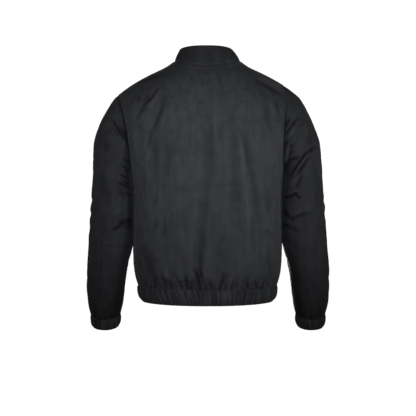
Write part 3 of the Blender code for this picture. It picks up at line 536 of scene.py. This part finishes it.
def bodyOut(points):
    # level over most of the body, and upwards on the shoulders
    up = smoothStep(points[:, 2], -0.15, -0.06) * (0.4 + 1.3 * hump(points[:, 1], 0.035))
    return unit(levelOut(points) + up[:, None] * np.array([0.0, 0.0, 1.0]))


def seenAt(points):
    # across and height on the plane of the side seams, as seen from the camera behind the jacket
    nearer = view["away"] / (view["away"] - points[:, 1])
    return points[:, 0] * nearer, view["height"] + (points[:, 2] - view["height"]) * nearer


def shoulderShade(x, z):
    far = np.abs(x)
    below = shoulders["height"] - shoulders["slope"] * np.maximum(far - body["neckHalf"], 0) - z
    wider = np.where(x > 0, *shoulders["wider"]) * capped(far / body["neckHalf"])
    return shoulders["dark"] * (1 - smoothStep(below, 0.012, shoulders["reach"] + wider))


def bodyDepth(points, away):
    x, y, z = points.T
    above = hemAbove(points)
    back = y > 0
    facing = capped(np.abs(levelOut(points)[:, 1]) * 2.2)
    low = 0.35 + 0.65 * smoothStep(above, 0.0, 0.035)
    total = np.where(back, creases(*seenAt(points), backCreases), creases(x, z, frontCreases))
    total *= facing * np.array([smoothStep(away, 0.0, 0.014) * low, smoothStep(away, 0.0, 0.004)])
    across, aside = x * 1000, y * 1000
    front = gathers(across, above, frontGathers) + gathers(-across, above, frontGathers)
    total += np.where(back, gathers(across, above, backGathers), front) * facing
    total += gathers(aside, above, sideGathers) * (1 - facing)
    depth, shut = total
    depth += unevenness(points, away, body["rolls"], body["pucker"])
    # painted shade under the collar and shoulders, along the seams and above the hem seam
    shut += shoulderShade(x, z) * back
    shut += shadeBy(away, *body["seamShade"])
    uneven = np.clip(0.7 + 0.5 * rolling(points, 0.030, 6), 0, 1.2)
    shut += uneven * shadeBy(above - 0.0012 * rolling(points, 0.022, 7), *body["hemShade"])
    resting = capped((np.abs(x) - 0.17) / 0.03) * (1 - facing) * within(z, *body["resting"])
    return depth * (1 - 0.9 * resting) - body["pressed"] * resting, shut


# Creases of the sleeves, as above, but across is how far out from the middle of the body
rightBackCreases = (
    (302, -225, 262, -254, 3.8, 4.5), (274, -244, 224, -314, 5.2, 4.6, 1, 0.2),
    (286, -248, 238, -316, 3.4, 4.6), (278, -246, 246, -292, -2.2, 4),
    (253, -258, 220, -267, 3.6, 3.4, 1), (232, -262, 190, -298, 4.8, 4.8, 1),
    (262, -300, 240, -345, 2, 6), (250, -300, 228, -336, -2, 5.5), (288, -188, 280, -224, 3, 8),
    (252, -146, 210, -202, 3.6, 3.8, 1), (229, -146, 198, -192, 3.6, 4.8),
    (244, -172, 220, -212, -2.2, 4.5), (236, -196, 212, -228, 2, 4.5),
    (217, -204, 205, -250, 3.6, 5), (190, -366, 228, -368, 4.6, 4.4),
    (214, -369, 247, -355, 4.4, 3.8, 1), (238, -355, 257, -372, 3.4, 3.6, 1),
    (220, -357, 252, -346, -2.6, 4.2), (204, -386, 234, -432, 5, 6.4, 2),
    (226, -431, 288, -411, 3.2, 5.5, -3), (222, -416, 270, -400, -1.8, 7),
    (196, -428, 252, -466, 3.4, 6, 2), (232, -444, 268, -448, -1.6, 7),
    (212, -470, 250, -520, 2.4, 9), (309, -240, 313, -340, -1.6, 6),
    (300, -300, 302, -420, 1.4, 8), (230, -520, 250, -640, 1.8, 12),
    (300, -560, 290, -640, 1.2, 10),
)
leftBackCreases = (
    (267, -149, 229, -214, 4, 3.6, 1, 0.3), (262, -170, 246, -200, 1.8, 4),
    (248, -163, 210, -232, 4.4, 7, 2), (240, -190, 218, -240, -1.8, 4),
    (233, -261, 202, -286, 3.6, 3, 1), (238, -280, 201, -299, 3.2, 2.6, 1),
    (229, -290, 202, -312, 3.6, 3.4), (243, -303, 202, -331, 4, 3, 2),
    (235, -322, 203, -335, 2.6, 3.6), (250, -327, 204, -347, 3.4, 4.2, 2),
    (233, -352, 204, -364, 2.4, 4), (262, -459, 235, -437, 4.4, 5, -3),
    (246, -441, 196, -424, 4.8, 7.2), (236, -447, 198, -448, 3.4, 9),
    (264, -420, 226, -392, -2.4, 8), (256, -468, 220, -456, -1.8, 6),
    (250, -340, 222, -372, 1.8, 6), (294, -300, 276, -400, 4, 14), (296, -410, 292, -500, 2.4, 12),
    (298, -195, 276, -245, 3.4, 11), (214, -506, 300, -502, 1, 3.5),
    (300, -520, 292, -610, 1.4, 11), (252, -540, 262, -640, 1.4, 12),
)
frontSleeveCreases = (
    (214, -290, 250, -250, 3, 6), (224, -330, 290, -262, 4, 7, 4),
    (220, -400, 290, -360, 4.8, 7.5, 4), (222, -436, 300, -400, 5, 7.5, 3),
    (226, -466, 300, -444, 4.2, 7), (230, -496, 290, -486, 2.6, 7), (272, -140, 244, -208, 3.2, 9),
    (246, -128, 230, -170, 2, 7), (312, -590, 262, -636, 3, 8.5), (246, -560, 262, -640, 2.2, 8),
)
# Seen from the side: across is how far back
outerSleeveCreases = (
    (-50, -240, 20, -268, 2.6, 8), (-62, -385, 30, -372, 4, 8, 4),
    (-66, -430, 20, -408, 4.2, 8, 3), (-60, -472, 4, -450, 3.4, 8), (46, -300, 30, -420, 2.6, 11),
    (-60, -560, 0, -620, 2.6, 9), (20, -520, -10, -600, 2.2, 10),
)
innerSleeveCreases = (
    (-50, -400, 20, -420, 3, 7), (-56, -450, 10, -440, 3.4, 7), (-50, -520, 0, -560, 2.4, 8),
)
# Gathers over the cuff: across is degrees round from the outer side towards the back, so are the
# half widths, and the lean is in degrees a millimetre
cuffGathers = (
    (8, 2.6, 4.6, 30, 0.02), (23, 3.4, 5.2, 46, -0.03), (41, 2.6, 4.8, 30, 0.04),
    (58, 3.8, 5.6, 55, 0.06), (77, 2.6, 4.6, 32, 0), (93, 3.6, 5.4, 48, -0.04),
    (112, 2.8, 4.8, 34, 0.02), (129, 3.8, 5.4, 52, -0.06), (148, 2.6, 4.6, 30, 0),
    (166, 3.4, 5.2, 44, 0.04), (186, 2.6, 4.8, 30, 0), (204, 3.4, 5.2, 40, 0.02),
    (223, 2.8, 4.8, 34, -0.02), (241, 3.6, 5.4, 50, 0), (262, 2.6, 4.8, 30, 0.03),
    (281, 3.6, 5.2, 48, -0.03), (300, 2.6, 4.8, 32, 0), (320, 3.4, 5.2, 44, 0.02),
    (341, 2.8, 4.8, 34, -0.02),
)
# Middle line of the left arm: x, y, z
armLine = np.array(
    (
        (222, 0, -190), (232, 0, -205), (242, 0, -220), (252, 0, -245), (258, 0, -275),
        (260, 0, -310), (259, 0, -345), (260, -1, -385), (262, -4, -430), (265, -10, -480),
        (272, -20, -535), (279, -31, -580), (283, -42, -616), (285, -52, -651), (286, -60, -677),
        (286, -66.5, -705), (286, -73, -727),
    )
) / 1000
cuffSeam = {"height": -0.695, "slope": 0.29, "forward": 0.066}
# The sunk line beside each armhole seam, which fades out above its height, and its painted shade
ditches = {
    "left": {"depth": 0.0034, "reach": 0.0055, "dark": 0.0050, "height": -0.110},
    "right": {"depth": 0.0024, "reach": 0.0045, "dark": 0.0034, "height": -0.150},
}
# nookShade and cuffShade: painted shade in the nook beside the body and above the cuff seam
sleeve = {
    "left": {"creases": leftBackCreases, "seed": 15},
    "right": {"creases": rightBackCreases, "seed": 16},
    "pucker": (0.0004, 0.011, 13, 0.008),
    "resting": (-0.52, -0.48, -0.31, -0.29),  # heights where it lies against the body
    "nook": (0.32, 0.37, 0.485, 0.520),  # how far down it is dark there
    "nookShade": 0.9,
    "cuffShade": (0.8, 0.003),
    "pressed": 0.0011,
}


def armOut(points):
    # straight out from the middle line of the left arm
    flat = points[:, None, :] - armLine[None, :, :]
    nearest = np.argmin((flat**2).sum(axis=2), axis=1)
    best = np.full(len(points), 1e9)
    out = np.zeros_like(points)
    for step in (-1, 0):
        start = np.clip(nearest + step, 0, len(armLine) - 2)
        a, b = armLine[start], armLine[start + 1]
        run = b - a
        t = capped(((points - a) * run).sum(axis=1) / (run**2).sum(axis=1))
        away = points - (a + run * t[:, None])
        size = np.linalg.norm(away, axis=1)
        closer = size < best
        best = np.where(closer, size, best)
        out[closer] = away[closer]
    return unit(out)


def cuffAbove(points):
    # height above the cuff's seam, which leans with the forearm
    forward = points[:, 1] + cuffSeam["forward"]
    return np.clip(points[:, 2] - cuffSeam["height"] + cuffSeam["slope"] * forward, 0, None)


def sleeveDepth(side):
    table, seed = sleeve[side]["creases"], sleeve[side]["seed"]
    rolls = ((0.0007, 0.045, seed, 0.020), (0.0003, 0.018, seed + 1, 0.012))
    ditch = ditches[side]

    def depth(points, away):
        x, y, z = points.T
        out = armOut(points)
        outward, inward = (capped(way * out[:, 0] * 2.0 - 0.8) for way in (1, -1))
        behind, before = (capped(way * out[:, 1] * 2.2) for way in (1, -1))
        across, height = seenAt(points)
        total = creases(across, height, table) * behind
        total += creases(x, z, frontSleeveCreases) * before
        total += creases(y, z, outerSleeveCreases) * outward * (1 - 0.6 * behind)
        total += creases(y, z, innerSleeveCreases) * inward
        total *= np.array([smoothStep(away, 0.0, 0.008), smoothStep(away, 0.0, 0.002)])
        above = cuffAbove(points)
        turned = np.degrees(np.arctan2(out[:, 1], out[:, 0])) % 360
        for turn in (-360, 0, 360):
            total += gathers(turned + turn, above, cuffGathers, 0.77)
        deep, shut = total
        deep += unevenness(points, away, rolls, sleeve["pucker"])
        seamed = np.where(z > -0.5, away / ditch["reach"], 9.0)
        high = smoothStep(z, ditch["height"] - 0.03, ditch["height"] + 0.03)
        sunk = ditch["depth"] * seamed * np.exp(1 - seamed)
        deep += sunk * (1 - 0.9 * high) * (1 - inward * smoothStep(-z, 0.25, 0.29))
        # painted shade along the armhole seam, above the cuff seam and in the nook beside the body
        wide = ditch["dark"] * (1 + 0.4 * rolling(points, 0.050, 14))
        shut += hump(away - 0.0015, wide) * (1 - 0.65 * high) * (z > -0.5)
        shut += shadeBy(above, *sleeve["cuffShade"])
        nook = (1 - smoothStep(across, 0.209, 0.222)) * within(-height, *sleeve["nook"])
        shut += sleeve["nookShade"] * nook
        flat = inward * within(z, *sleeve["resting"]) * smoothStep(away, 0, 0.004)
        return deep * (1 - 0.9 * flat) - sleeve["pressed"] * flat, shut

    return depth


hemRibs = {
    "halfWidth": 0.19,
    "halfDepth": 0.11,
    "radius": 0.158,
    "tall": 0.044,
    "pitch": 0.0090,
    "depth": 0.0016,
    "plain": (0.010, 0.015),  # beside the zip, and how far it takes to reach full depth
}
cuffRibs = {"radius": 0.044, "pitch": 0.0065, "depth": 0.0010, "seeds": {"left": 35, "right": 36}}


def bandSlant(share):
    # the band's ridges lean from the left side to the centre back, and stand straight elsewhere
    return -0.40 * hump(share - 0.12, 0.12)


def ribbing(across, up, size, seed, slant=lambda share: 0.0):
    # soft upright ridges of uneven width and height along a gathered band
    rng = np.random.default_rng(seed)
    total = np.zeros(len(across))
    start, end = across.min(), across.max()
    at = start
    while at < end:
        width = size["pitch"] * rng.uniform(0.6, 1.5)
        height = size["depth"] * rng.uniform(0.35, 1.3)
        lean = slant(at / (end - start)) + rng.uniform(-0.12, 0.12)
        middle, reach = rng.uniform(0.2, 0.8), rng.uniform(0.5, 1.2)
        offset = (across - at - lean * (up - 0.5) * 0.03) / (width * 0.36)
        total -= height * hump(up - middle, reach) * hump(offset, 1)
        at += width
    # painted shade between the ridges, turning to a painted highlight on the tallest
    return np.array([total, 0.75 + total / size["depth"]])


def bandDepth(points, away):
    size = hemRibs
    x, y = points[:, 0], points[:, 1]
    across = np.arctan2(y / size["halfDepth"], x / size["halfWidth"]) * size["radius"]
    up = capped((hemAbove(points) + size["tall"]) / size["tall"])
    clear = capped((np.abs(x) - size["plain"][0]) / size["plain"][1] + (y > 0))
    deep, shut = ribbing(across, up, size, 21, bandSlant) * clear
    deep += 0.0006 * rolling(points, 0.040, 22)
    edge = smoothStep(up, 0.0, 0.12) * (1 - 0.6 * smoothStep(up, 0.9, 1.0))
    return deep * (0.35 + 0.65 * edge), shut * edge


def cuffDepth(side):
    def depth(points, away):
        out = armOut(points)
        across = np.arctan2(out[:, 1], out[:, 0]) * cuffRibs["radius"]
        low, high = points[:, 2].min(), points[:, 2].max()
        up = capped((points[:, 2] - low) / (high - low))
        ribs = ribbing(across, up, cuffRibs, cuffRibs["seeds"][side])
        return ribs * smoothStep(away, 0.0, 0.004)

    return depth


collarCreases = (
    (60, 36, 52, 0, 1, 7), (26, 38, 30, 4, 0.9, 8), (-10, 36, -6, 2, 0.9, 9),
    (-44, 36, -40, 0, 1.1, 8), (-70, 30, -66, 4, 1, 7),
)


def collarDepth(points, away):
    x, y, z = points.T
    facing = capped(np.abs(levelOut(points)[:, 1]) * 2)
    total = creases(x, z, collarCreases) * facing
    total[0] += 0.0006 * rolling(points, 0.050, 41) + 0.00025 * rolling(points, 0.016, 42)
    return total * smoothStep(away, 0.0, 0.012)


# Per kind: rounding, the longest quad left whole, the height above which rims are seams, how
# sharp a rim is, how far the cloth stands out, and cuts beside the upper seam
shellColumns = ("levels", "longest", "seamsAbove", "rimAngle", "ease", "seamCuts")
shellRows = {
    "panel": (2, 0.040, -0.600, 0.9, 0.0003, 0),
    "sleeve": (2, 0.024, -0.65, 0.9, 0.0004, 2),
    "collar": (3, 0.030, -1.0, 0.9, 0.0, 0),
    "hemBand": (1, 0.010, -1.0, 1.3, 0.0, 0),
    "cuff": (1, 0.008, -1.0, 1.3, 0.0, 0),
}
shells = {kind: dict(zip(shellColumns, row)) for kind, row in shellRows.items()}
panelNodes = {"backPanel": "back", "frontPanelLeft": "front_left", "frontPanelRight": "front_right"}
shoulderSeam = {"reach": 0.008, "shut": 0.0007, "heights": (-0.13, -0.11)}
# How the lower edge of a panel or sleeve is tucked in behind the band that it is sewn to
tuck = {"inward": 0.0012, "above": 0.007, "down": 0.003, "edge": 0.002}
deepest = {"atSeam": 0.0002, "slope": 0.45}  # of its creases there
rub = {"rim": 0.0030, "rimShare": 0.10, "ridge": 0.002, "ridgeShare": 0.15}


def paint(mesh, name, values):
    layer = mesh.attributes.new(name, "FLOAT", "POINT")
    layer.data.foreach_set("value", values.astype(np.float32))


def clothPiece(name, node, kind, outOf, depthOf, finish, mirrorX=False, aboveSeam=None):
    size = shells[kind]
    flip = np.array([-1.0 if mirrorX else 1.0, 1.0, 1.0])
    mesh, rims = fineMesh(node, size, outOf, flip)
    points = pointsOf(mesh)
    away = distanceTo(points, [rim for rim in rims if rim[2] > size["seamsAbove"]])
    edge = distanceTo(points, rims)
    local = points * flip
    out = outOf(local)
    depth, shut = depthOf(local, away)
    if aboveSeam:
        above = aboveSeam(local)
        limit = deepest["atSeam"] + deepest["slope"] * np.clip(above, 0, None)
        depth = np.minimum(depth, limit)
    moved = local - out * (depth - size["ease"])[:, None]
    if aboveSeam:
        moved -= out * (tuck["inward"] * capped(1 - above / tuck["above"]) ** 2)[:, None]
        moved[:, 2] -= tuck["down"] * capped(1 - above / tuck["edge"])
    if kind == "panel":  # its shoulder seam is drawn shut
        near = capped(1 - np.abs(local[:, 1]) / shoulderSeam["reach"])
        near *= smoothStep(local[:, 2], *shoulderSeam["heights"])
        moved[:, 1] -= (1 if node == "back" else -1) * shoulderSeam["shut"] * near
    mesh.vertices.foreach_set("co", (moved * flip).ravel())
    wear = hump(edge, rub["rim"]) * rub["rimShare"]
    wear += rub["ridgeShare"] * capped(-depth / rub["ridge"])
    paint(mesh, "wear", capped(wear))
    paint(mesh, "shut", np.clip(shut, -1, 1))
    return dressed(name, mesh, finish, "jacket", 55, node)


def onBothArms(kind, depthOf, finish, aboveSeam=None):
    for side in ("left", "right"):
        name, node, mirrorX = kind + side.title(), kind + "_" + side, side == "right"
        clothPiece(name, node, kind, armOut, depthOf(side), finish, mirrorX, aboveSeam)


panels = [
    clothPiece(name, node, "panel", bodyOut, bodyDepth, twill, aboveSeam=hemAbove)
    for name, node in panelNodes.items()
]
onBothArms("sleeve", sleeveDepth, sleeveTwill, cuffAbove)
collar = clothPiece(
    "standCollar", "collar", "collar", levelOut, collarDepth, collarTwill
)
clothPiece("hemBand", "hem_band", "hemBand", levelOut, bandDepth, bandTwill)
onBothArms("cuff", cuffDepth, cuffTwill)
print("cloth laid")

zipSizes = {
    "pitch": 0.00254,
    "toothWide": 0.0037,
    "toothTall": 0.0012,
    "toothDeep": 0.0022,
    "toothEdge": 0.00028,
    "overlap": 0.0008,
    "end": 0.001,
    "tilt": math.radians(15.031),
    "axis": Vector((0.0, -0.08206, -0.03827)),
}
zipFrame = Matrix.Translation(zipSizes["axis"]) @ Matrix.Rotation(-zipSizes["tilt"], 4, "X")


def pieceFrom(name, bm, finish, body, smoothAngle=35, node=None):
    ops.recalc_face_normals(bm, faces=bm.faces)
    return dressed(name, meshFrom(name, bm), finish, body, smoothAngle, node)


def bevelled(bm, edges, offset, segments):
    ops.bevel(
        bm, geom=edges, offset=offset, affect="EDGES", segments=segments, profile=0.5, material=-1
    )


def block(bm, size, middle, frameOf=Matrix()):
    matrix = frameOf @ Matrix.Translation(middle) @ Matrix.Diagonal((*size, 1))
    return ops.create_cube(bm, size=1.0, matrix=matrix)["verts"]


def chainLine():
    # the middle of the chain from bottom to top, in the plane of the centre front
    points = pointsOf(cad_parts["zip_chain"].data)
    points = points[points[:, 0] > 0]
    rows, used = [], -9.0
    for height in sorted(set(np.round(points[:, 2], 3))):
        if height - used < 0.004:
            continue
        near = points[np.abs(points[:, 2] - height) < 0.0022]
        rows.append((near[:, 1].min() + near[:, 1].max(), 2 * near[:, 2].mean()))
        used = height
    return np.array(rows) / 2


chain = chainLine()
chainRun = np.concatenate([[0], np.cumsum(np.linalg.norm(np.diff(chain, axis=0), axis=1))])


def alongZip(distance):
    # place on the chain, and how it leans there
    near = (distance, distance - 0.002, distance + 0.002)
    (y, z), (y1, z1), (y2, z2) = ([np.interp(d, chainRun, c) for c in chain.T] for d in near)
    return Vector((0, y, z)), math.atan2(y1 - y2, z2 - z1)


def toothChain():
    bm = bmesh.new()
    step = zipSizes["pitch"] / 2
    size = [zipSizes[key] for key in ("toothWide", "toothDeep", "toothTall")]
    for i in range(int((chainRun[-1] - 2 * zipSizes["end"]) / step)):
        place, lean = alongZip(zipSizes["end"] + i * step)
        aside = (1 if i % 2 else -1) * (zipSizes["toothWide"] / 2 - zipSizes["overlap"])
        block(bm, size, (aside, 0, 0), Matrix.Translation(place) @ Matrix.Rotation(lean, 4, "X"))
    bevelled(bm, bm.edges[:], zipSizes["toothEdge"], 1)
    pieceFrom("zipTeeth", bm, gunmetal, "jacket", 60, "zip_chain")


toothChain()
for side in ("left", "right"):
    name, node = "zipTape" + side.title(), "zip_tape_" + side
    pieceFrom(name, readCopy(node), tapeWeave, "jacket", 50, node)

slider = {
    "half": 0.0045,
    "long": 0.0090,
    "plate": 0.0009,
    "front": 0.00165,
    "back": 0.00555,
    "taper": 0.80,
    "corner": 0.0014,
    "edge": 0.00018,
    "post": (0.0024, 0.0028),
    "postHeight": 0.0025,
    "loop": {"radius": 0.0006, "out": 0.0012, "height": 0.0022},
}


def sliderPiece():
    bm = bmesh.new()
    front, back = slider["front"], slider["back"]
    for depth in (front, back):
        plate = block(bm, (2 * slider["half"], slider["plate"], slider["long"]), (0, depth, 0))
        for vert in plate:  # narrower at the lower end, where the closed chain leaves
            if vert.co.z < 0:
                vert.co.x *= slider["taper"]
        edges = {e for v in plate for e in v.link_edges}
        uprights = [e for e in edges if abs(e.verts[0].co.y - e.verts[1].co.y) > 1e-6]
        bevelled(bm, uprights, slider["corner"], 4)
    wide, tall = slider["post"]
    block(bm, (wide, back - front, tall), (0, (front + back) / 2, slider["postHeight"]))
    bevelled(bm, rimEdges(bm, 1.0), slider["edge"], 2)
    loop = slider["loop"]  # the tab hangs in it
    middle = Matrix.Translation((0, loop["out"], loop["height"]))
    ring = ops.create_circle(bm, segments=10, radius=loop["radius"], matrix=middle)
    around = list({e for v in ring["verts"] for e in v.link_edges})
    ops.spin(
        bm, geom=around, cent=(0, loop["out"], 0), axis=(1, 0, 0), angle=math.pi, steps=14,
        use_merge=False,
    )
    ops.transform(bm, matrix=zipFrame, verts=bm.verts)
    pieceFrom("zipSlider", bm, brightGunmetal, "jacket", node="zip_slider")


sliderPiece()

pull = {
    "half": 0.0028,
    "foot": 0.0230,
    "thick": 0.0012,
    "bar": 0.0006,
    "eyeHalf": 0.0016,
    "eyeFoot": 0.0033,
    "edge": 0.00014,
    "corners": {"foot": 0.0015, "top": 0.0005},
}


def inEye(face):
    middle = face.calc_center_median()
    between = -pull["eyeFoot"] < middle.z < -pull["bar"]
    return abs(face.normal.y) > 0.9 and abs(middle.x) < 1e-5 and between


def isCorner(edge, height):
    return all(
        abs(v.co.z - height) < 1e-5 and abs(abs(v.co.x) - pull["half"]) < 1e-5 for v in edge.verts
    )


def pullPiece():
    # a flat tab hung on its axis, with an eye at its top and rounded corners at its foot
    bm = bmesh.new()
    size = (2 * pull["half"], pull["thick"], pull["foot"] + pull["bar"])
    block(bm, size, (0, 0, (pull["bar"] - pull["foot"]) / 2))
    cuts = [((way * pull["eyeHalf"], 0, 0), (1, 0, 0)) for way in (1, -1)]
    cuts += [((0, 0, -height), (0, 0, 1)) for height in (pull["bar"], pull["eyeFoot"])]
    for place, normal in cuts:
        everything = bm.verts[:] + bm.edges[:] + bm.faces[:]
        ops.bisect_plane(bm, geom=everything, plane_co=place, plane_no=normal)
    eyeFaces = [f for f in bm.faces if inEye(f)]
    eyeEdges = [e for f in eyeFaces for e in f.edges]
    ops.delete(bm, geom=eyeFaces, context="FACES_ONLY")
    ops.bridge_loops(bm, edges=eyeEdges)
    flat = [e for e in bm.edges if e.is_manifold and e.calc_face_angle() < 0.01]
    ops.dissolve_edges(bm, edges=flat, use_verts=False)
    ends = ((-pull["foot"], pull["corners"]["foot"]), (pull["bar"], pull["corners"]["top"]))
    for height, radius in ends:
        bevelled(bm, [e for e in bm.edges if isCorner(e, height)], radius, 5)
    bevelled(bm, rimEdges(bm, 1.0), pull["edge"], 2)
    ops.transform(bm, matrix=zipFrame, verts=bm.verts)
    pieceFrom("zipPullTab", bm, brightGunmetal, "zip_pull", node="zip_pull")


pullPiece()
print("zip made")

stitch = {"pitch": 0.0031, "long": 0.0022, "thick": 0.00038, "sink": 0.00008, "longestGap": 0.012}
neckRows = {"above": 0.0045, "upper": 0.0062, "lower": 0.0110, "zipGap": 0.16, "smoothed": 3}
zipRows = {"aside": 0.0105, "from": -0.606, "to": -0.090}


def surfaceOf(*pieces):
    graph = bpy.context.evaluated_depsgraph_get()
    return [bvhtree.BVHTree.FromObject(piece, graph) for piece in pieces]


def settle(surfaces, starts, ways):
    # points where rays from outside first meet the cloth, with the cloth's normals
    hits = []
    for start, way in zip(starts, ways):
        best = None
        for surface in surfaces:
            place, normal, _, away = surface.ray_cast(Vector(start), Vector(way).normalized(), 0.6)
            if place is not None and (best is None or away < best[2]):
                best = (place, normal if normal.dot(Vector(way)) < 0 else -normal, away)
        hits.append(best)
    return hits


def stitchRow(name, hits):
    bm = bmesh.new()
    half = Matrix.Diagonal((stitch["thick"], stitch["thick"], stitch["long"] / 2, 1))
    left = 0.0
    for first, second in zip(hits, hits[1:]):
        if first is None or second is None:
            continue
        gap = second[0] - first[0]
        if not 1e-6 <= gap.length <= stitch["longestGap"]:
            continue
        along = gap.normalized()
        while left < gap.length:
            spot = first[0].lerp(second[0], left / gap.length)
            up = first[1].lerp(second[1], left / gap.length).normalized()
            side = up.cross(along).normalized()
            up = along.cross(side).normalized()
            turn = Matrix((side, up, along)).transposed().to_4x4()
            place = Matrix.Translation(spot + up * stitch["sink"]) @ turn @ half
            ops.create_icosphere(bm, subdivisions=1, radius=1.0, matrix=place)
            left += stitch["pitch"]
        left -= gap.length
    return pieceFrom(name, bm, thread, "jacket", 180)


def collarFoot():
    # points along the collar's lower edge, round the back from one side of the zip to the other
    points = pointsOf(collar.data)
    turn = np.arctan2(points[:, 1], points[:, 0])
    gap = neckRows["zipGap"]
    line = []
    for angle in np.linspace(-0.5 * math.pi + gap, 1.5 * math.pi - gap, 150):
        near = points[np.abs((turn - angle + math.pi) % (2 * math.pi) - math.pi) < 0.035]
        foot = near[near[:, 2] < near[:, 2].min() + 0.0015]
        line.append(foot[np.argmax(np.hypot(foot[:, 0], foot[:, 1]))])
    line = np.array(line)
    for _ in range(neckRows["smoothed"]):
        line[1:-1] = (line[:-2] + 2 * line[1:-1] + line[2:]) / 4
    return line


def besideFoot(line, offset, outOf, pieces):
    # the same line moved over the cloth, down from the seam or up with a negative offset
    outs = outOf(line)
    aside = unit(np.cross(outs, np.gradient(line, axis=0)))
    aside *= np.sign((aside * (line * (1, 1, 0) - (0, 0, 0.1))).sum(axis=1))[:, None]
    return settle(pieces, line + aside * offset + outs * 0.02, -outs)


foot = collarFoot()
bodyCloth = surfaceOf(*panels)
stitchRows = [
    stitchRow("collarStitch", besideFoot(foot, -neckRows["above"], levelOut, surfaceOf(collar))),
    stitchRow("neckStitchUpper", besideFoot(foot, neckRows["upper"], bodyOut, bodyCloth)),
    stitchRow("neckStitchLower", besideFoot(foot, neckRows["lower"], bodyOut, bodyCloth)),
]
for name, way in (("zipStitchLeft", 1), ("zipStitchRight", -1)):
    heights = np.linspace(zipRows["from"], zipRows["to"], 180)
    starts = [(way * zipRows["aside"], -0.3, z) for z in heights]
    stitchRows.append(stitchRow(name, settle(bodyCloth, starts, [(0, 1, 0)] * len(starts))))
print("stitched")

# Per cloth piece: flat width and length, area where it isn't their product, how it is held, what
# carries it, and its stitches
sheets = {
    "backPanel": (0.58, 0.63, 0.330, "hung", ["standCollar"], stitchRows[1:3]),
    "frontPanelLeft": (0.29, 0.62, 0.157, "hung", ["standCollar"], stitchRows[3:4]),
    "frontPanelRight": (0.29, 0.62, 0.157, "hung", ["standCollar"], stitchRows[4:5]),
    "sleeveLeft": (0.47, 0.64, 0.230, "hung", ["backPanel", "frontPanelLeft"], ()),
    "sleeveRight": (0.47, 0.64, 0.230, "hung", ["backPanel", "frontPanelRight"], ()),
    "standCollar": (0.50, 0.058, 0.0265, "stretched", ["backPanel"], stitchRows[:1]),
    "hemBand": (1.15, 0.046, None, "gathered", ["backPanel"], ()),
    "cuffLeft": (0.34, 0.034, None, "gathered", ["sleeveLeft"], ()),
    "cuffRight": (0.34, 0.034, None, "gathered", ["sleeveRight"], ()),
    "zipTapeLeft": (0.0135, 0.64, None, "hung", ["frontPanelLeft"], ()),
    "zipTapeRight": (0.0135, 0.64, None, "hung", ["frontPanelRight"], ()),
}
for name, (width, length, area, held, rests, sewn) in sheets.items():
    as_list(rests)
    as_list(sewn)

floor = {"height": -0.80, "half": 6, "front": 9, "bend": -3.2, "radius": 1.2, "wall": 5}


def stageBoard():
    # level under the jacket, and curved up into a wall beyond it
    bend, height, radius = (floor[key] for key in ("bend", "height", "radius"))
    turns = np.linspace(0, math.pi / 2, 13)
    curve = [(bend - radius * math.sin(t), height + radius * (1 - math.cos(t))) for t in turns]
    far, rise = curve[-1]
    profile = [(floor["front"], height), *curve, (far, rise + floor["wall"])]
    bm = bmesh.new()
    verts = [bm.verts.new((-floor["half"], y, z)) for y, z in profile]
    edges = [bm.edges.new(pair) for pair in zip(verts, verts[1:])]
    wide = ops.extrude_edge_only(bm, edges=edges)["geom"]
    across = [g for g in wide if isinstance(g, bmesh.types.BMVert)]
    ops.translate(bm, vec=(2 * floor["half"], 0, 0), verts=across)
    mesh = meshFrom("paleFloor", bm)
    mesh.shade_smooth()
    mesh.materials.append(floorFinish())
    board = placed("paleFloor", mesh)
    board.visible_diffuse = board.visible_glossy = False  # it is seen, but throws no light back


stageBoard()

lights = {
    # name: place, aim, size, watts, spread in degrees
    "overBack": ((-0.10, 2.9, -0.20), (0.02, 0.12, -0.19), 0.5, 2.35, 31),
    "leftSide": ((2.2, 1.6, -0.2), (0.2, 0.0, -0.20), 0.4, 0.80, 34),
    "rightSide": ((-2.2, 1.6, -0.2), (-0.2, 0.0, -0.22), 0.4, 1.40, 34),
    "frontFill": ((0.50, -2.9, -0.60), (0.0, -0.1, -0.3), 0.6, 3.6, 40),
}
for name, (place, aim, size, watts, spread) in lights.items():
    lamp = bpy.data.lights.new(name, "AREA")
    lamp.shape, lamp.size, lamp.size_y, lamp.energy = "RECTANGLE", size, size, watts
    lamp.spread = math.radians(spread)
    made = placed(name, lamp)
    made.location = place
    made.rotation_euler = (Vector(aim) - Vector(place)).to_track_quat("-Z", "Y").to_euler()

# White behind the jacket, and softer as light on it
surround = {"lit": 0.024, "seen": 1.10}
world = bpy.data.worlds.new("paleRoom")
world.use_nodes = True
nodes, links = world.node_tree.nodes, world.node_tree.links
around = nodes["Background"]
around.inputs["Color"].default_value = (1.0, 1.0, 1.0, 1.0)
ray = nodes.new("ShaderNodeLightPath")
strength = nodes.new("ShaderNodeMapRange")
strength.inputs["To Min"].default_value = surround["lit"]
strength.inputs["To Max"].default_value = surround["seen"]
links.new(ray.outputs["Is Camera Ray"], strength.inputs["Value"])
links.new(strength.outputs["Result"], around.inputs["Strength"])
scene.world = world
scene.view_settings.view_transform = "Standard"

lens = bpy.data.cameras.new("backView")
lens.lens, lens.shift_y = view["lens"], view["shift"]
camera = placed("backView", lens)
camera.location = (view["x"], view["away"], view["height"])
camera.rotation_euler = (math.pi / 2, 0, math.pi)
scene.camera = camera
print("stage, lights and camera set")
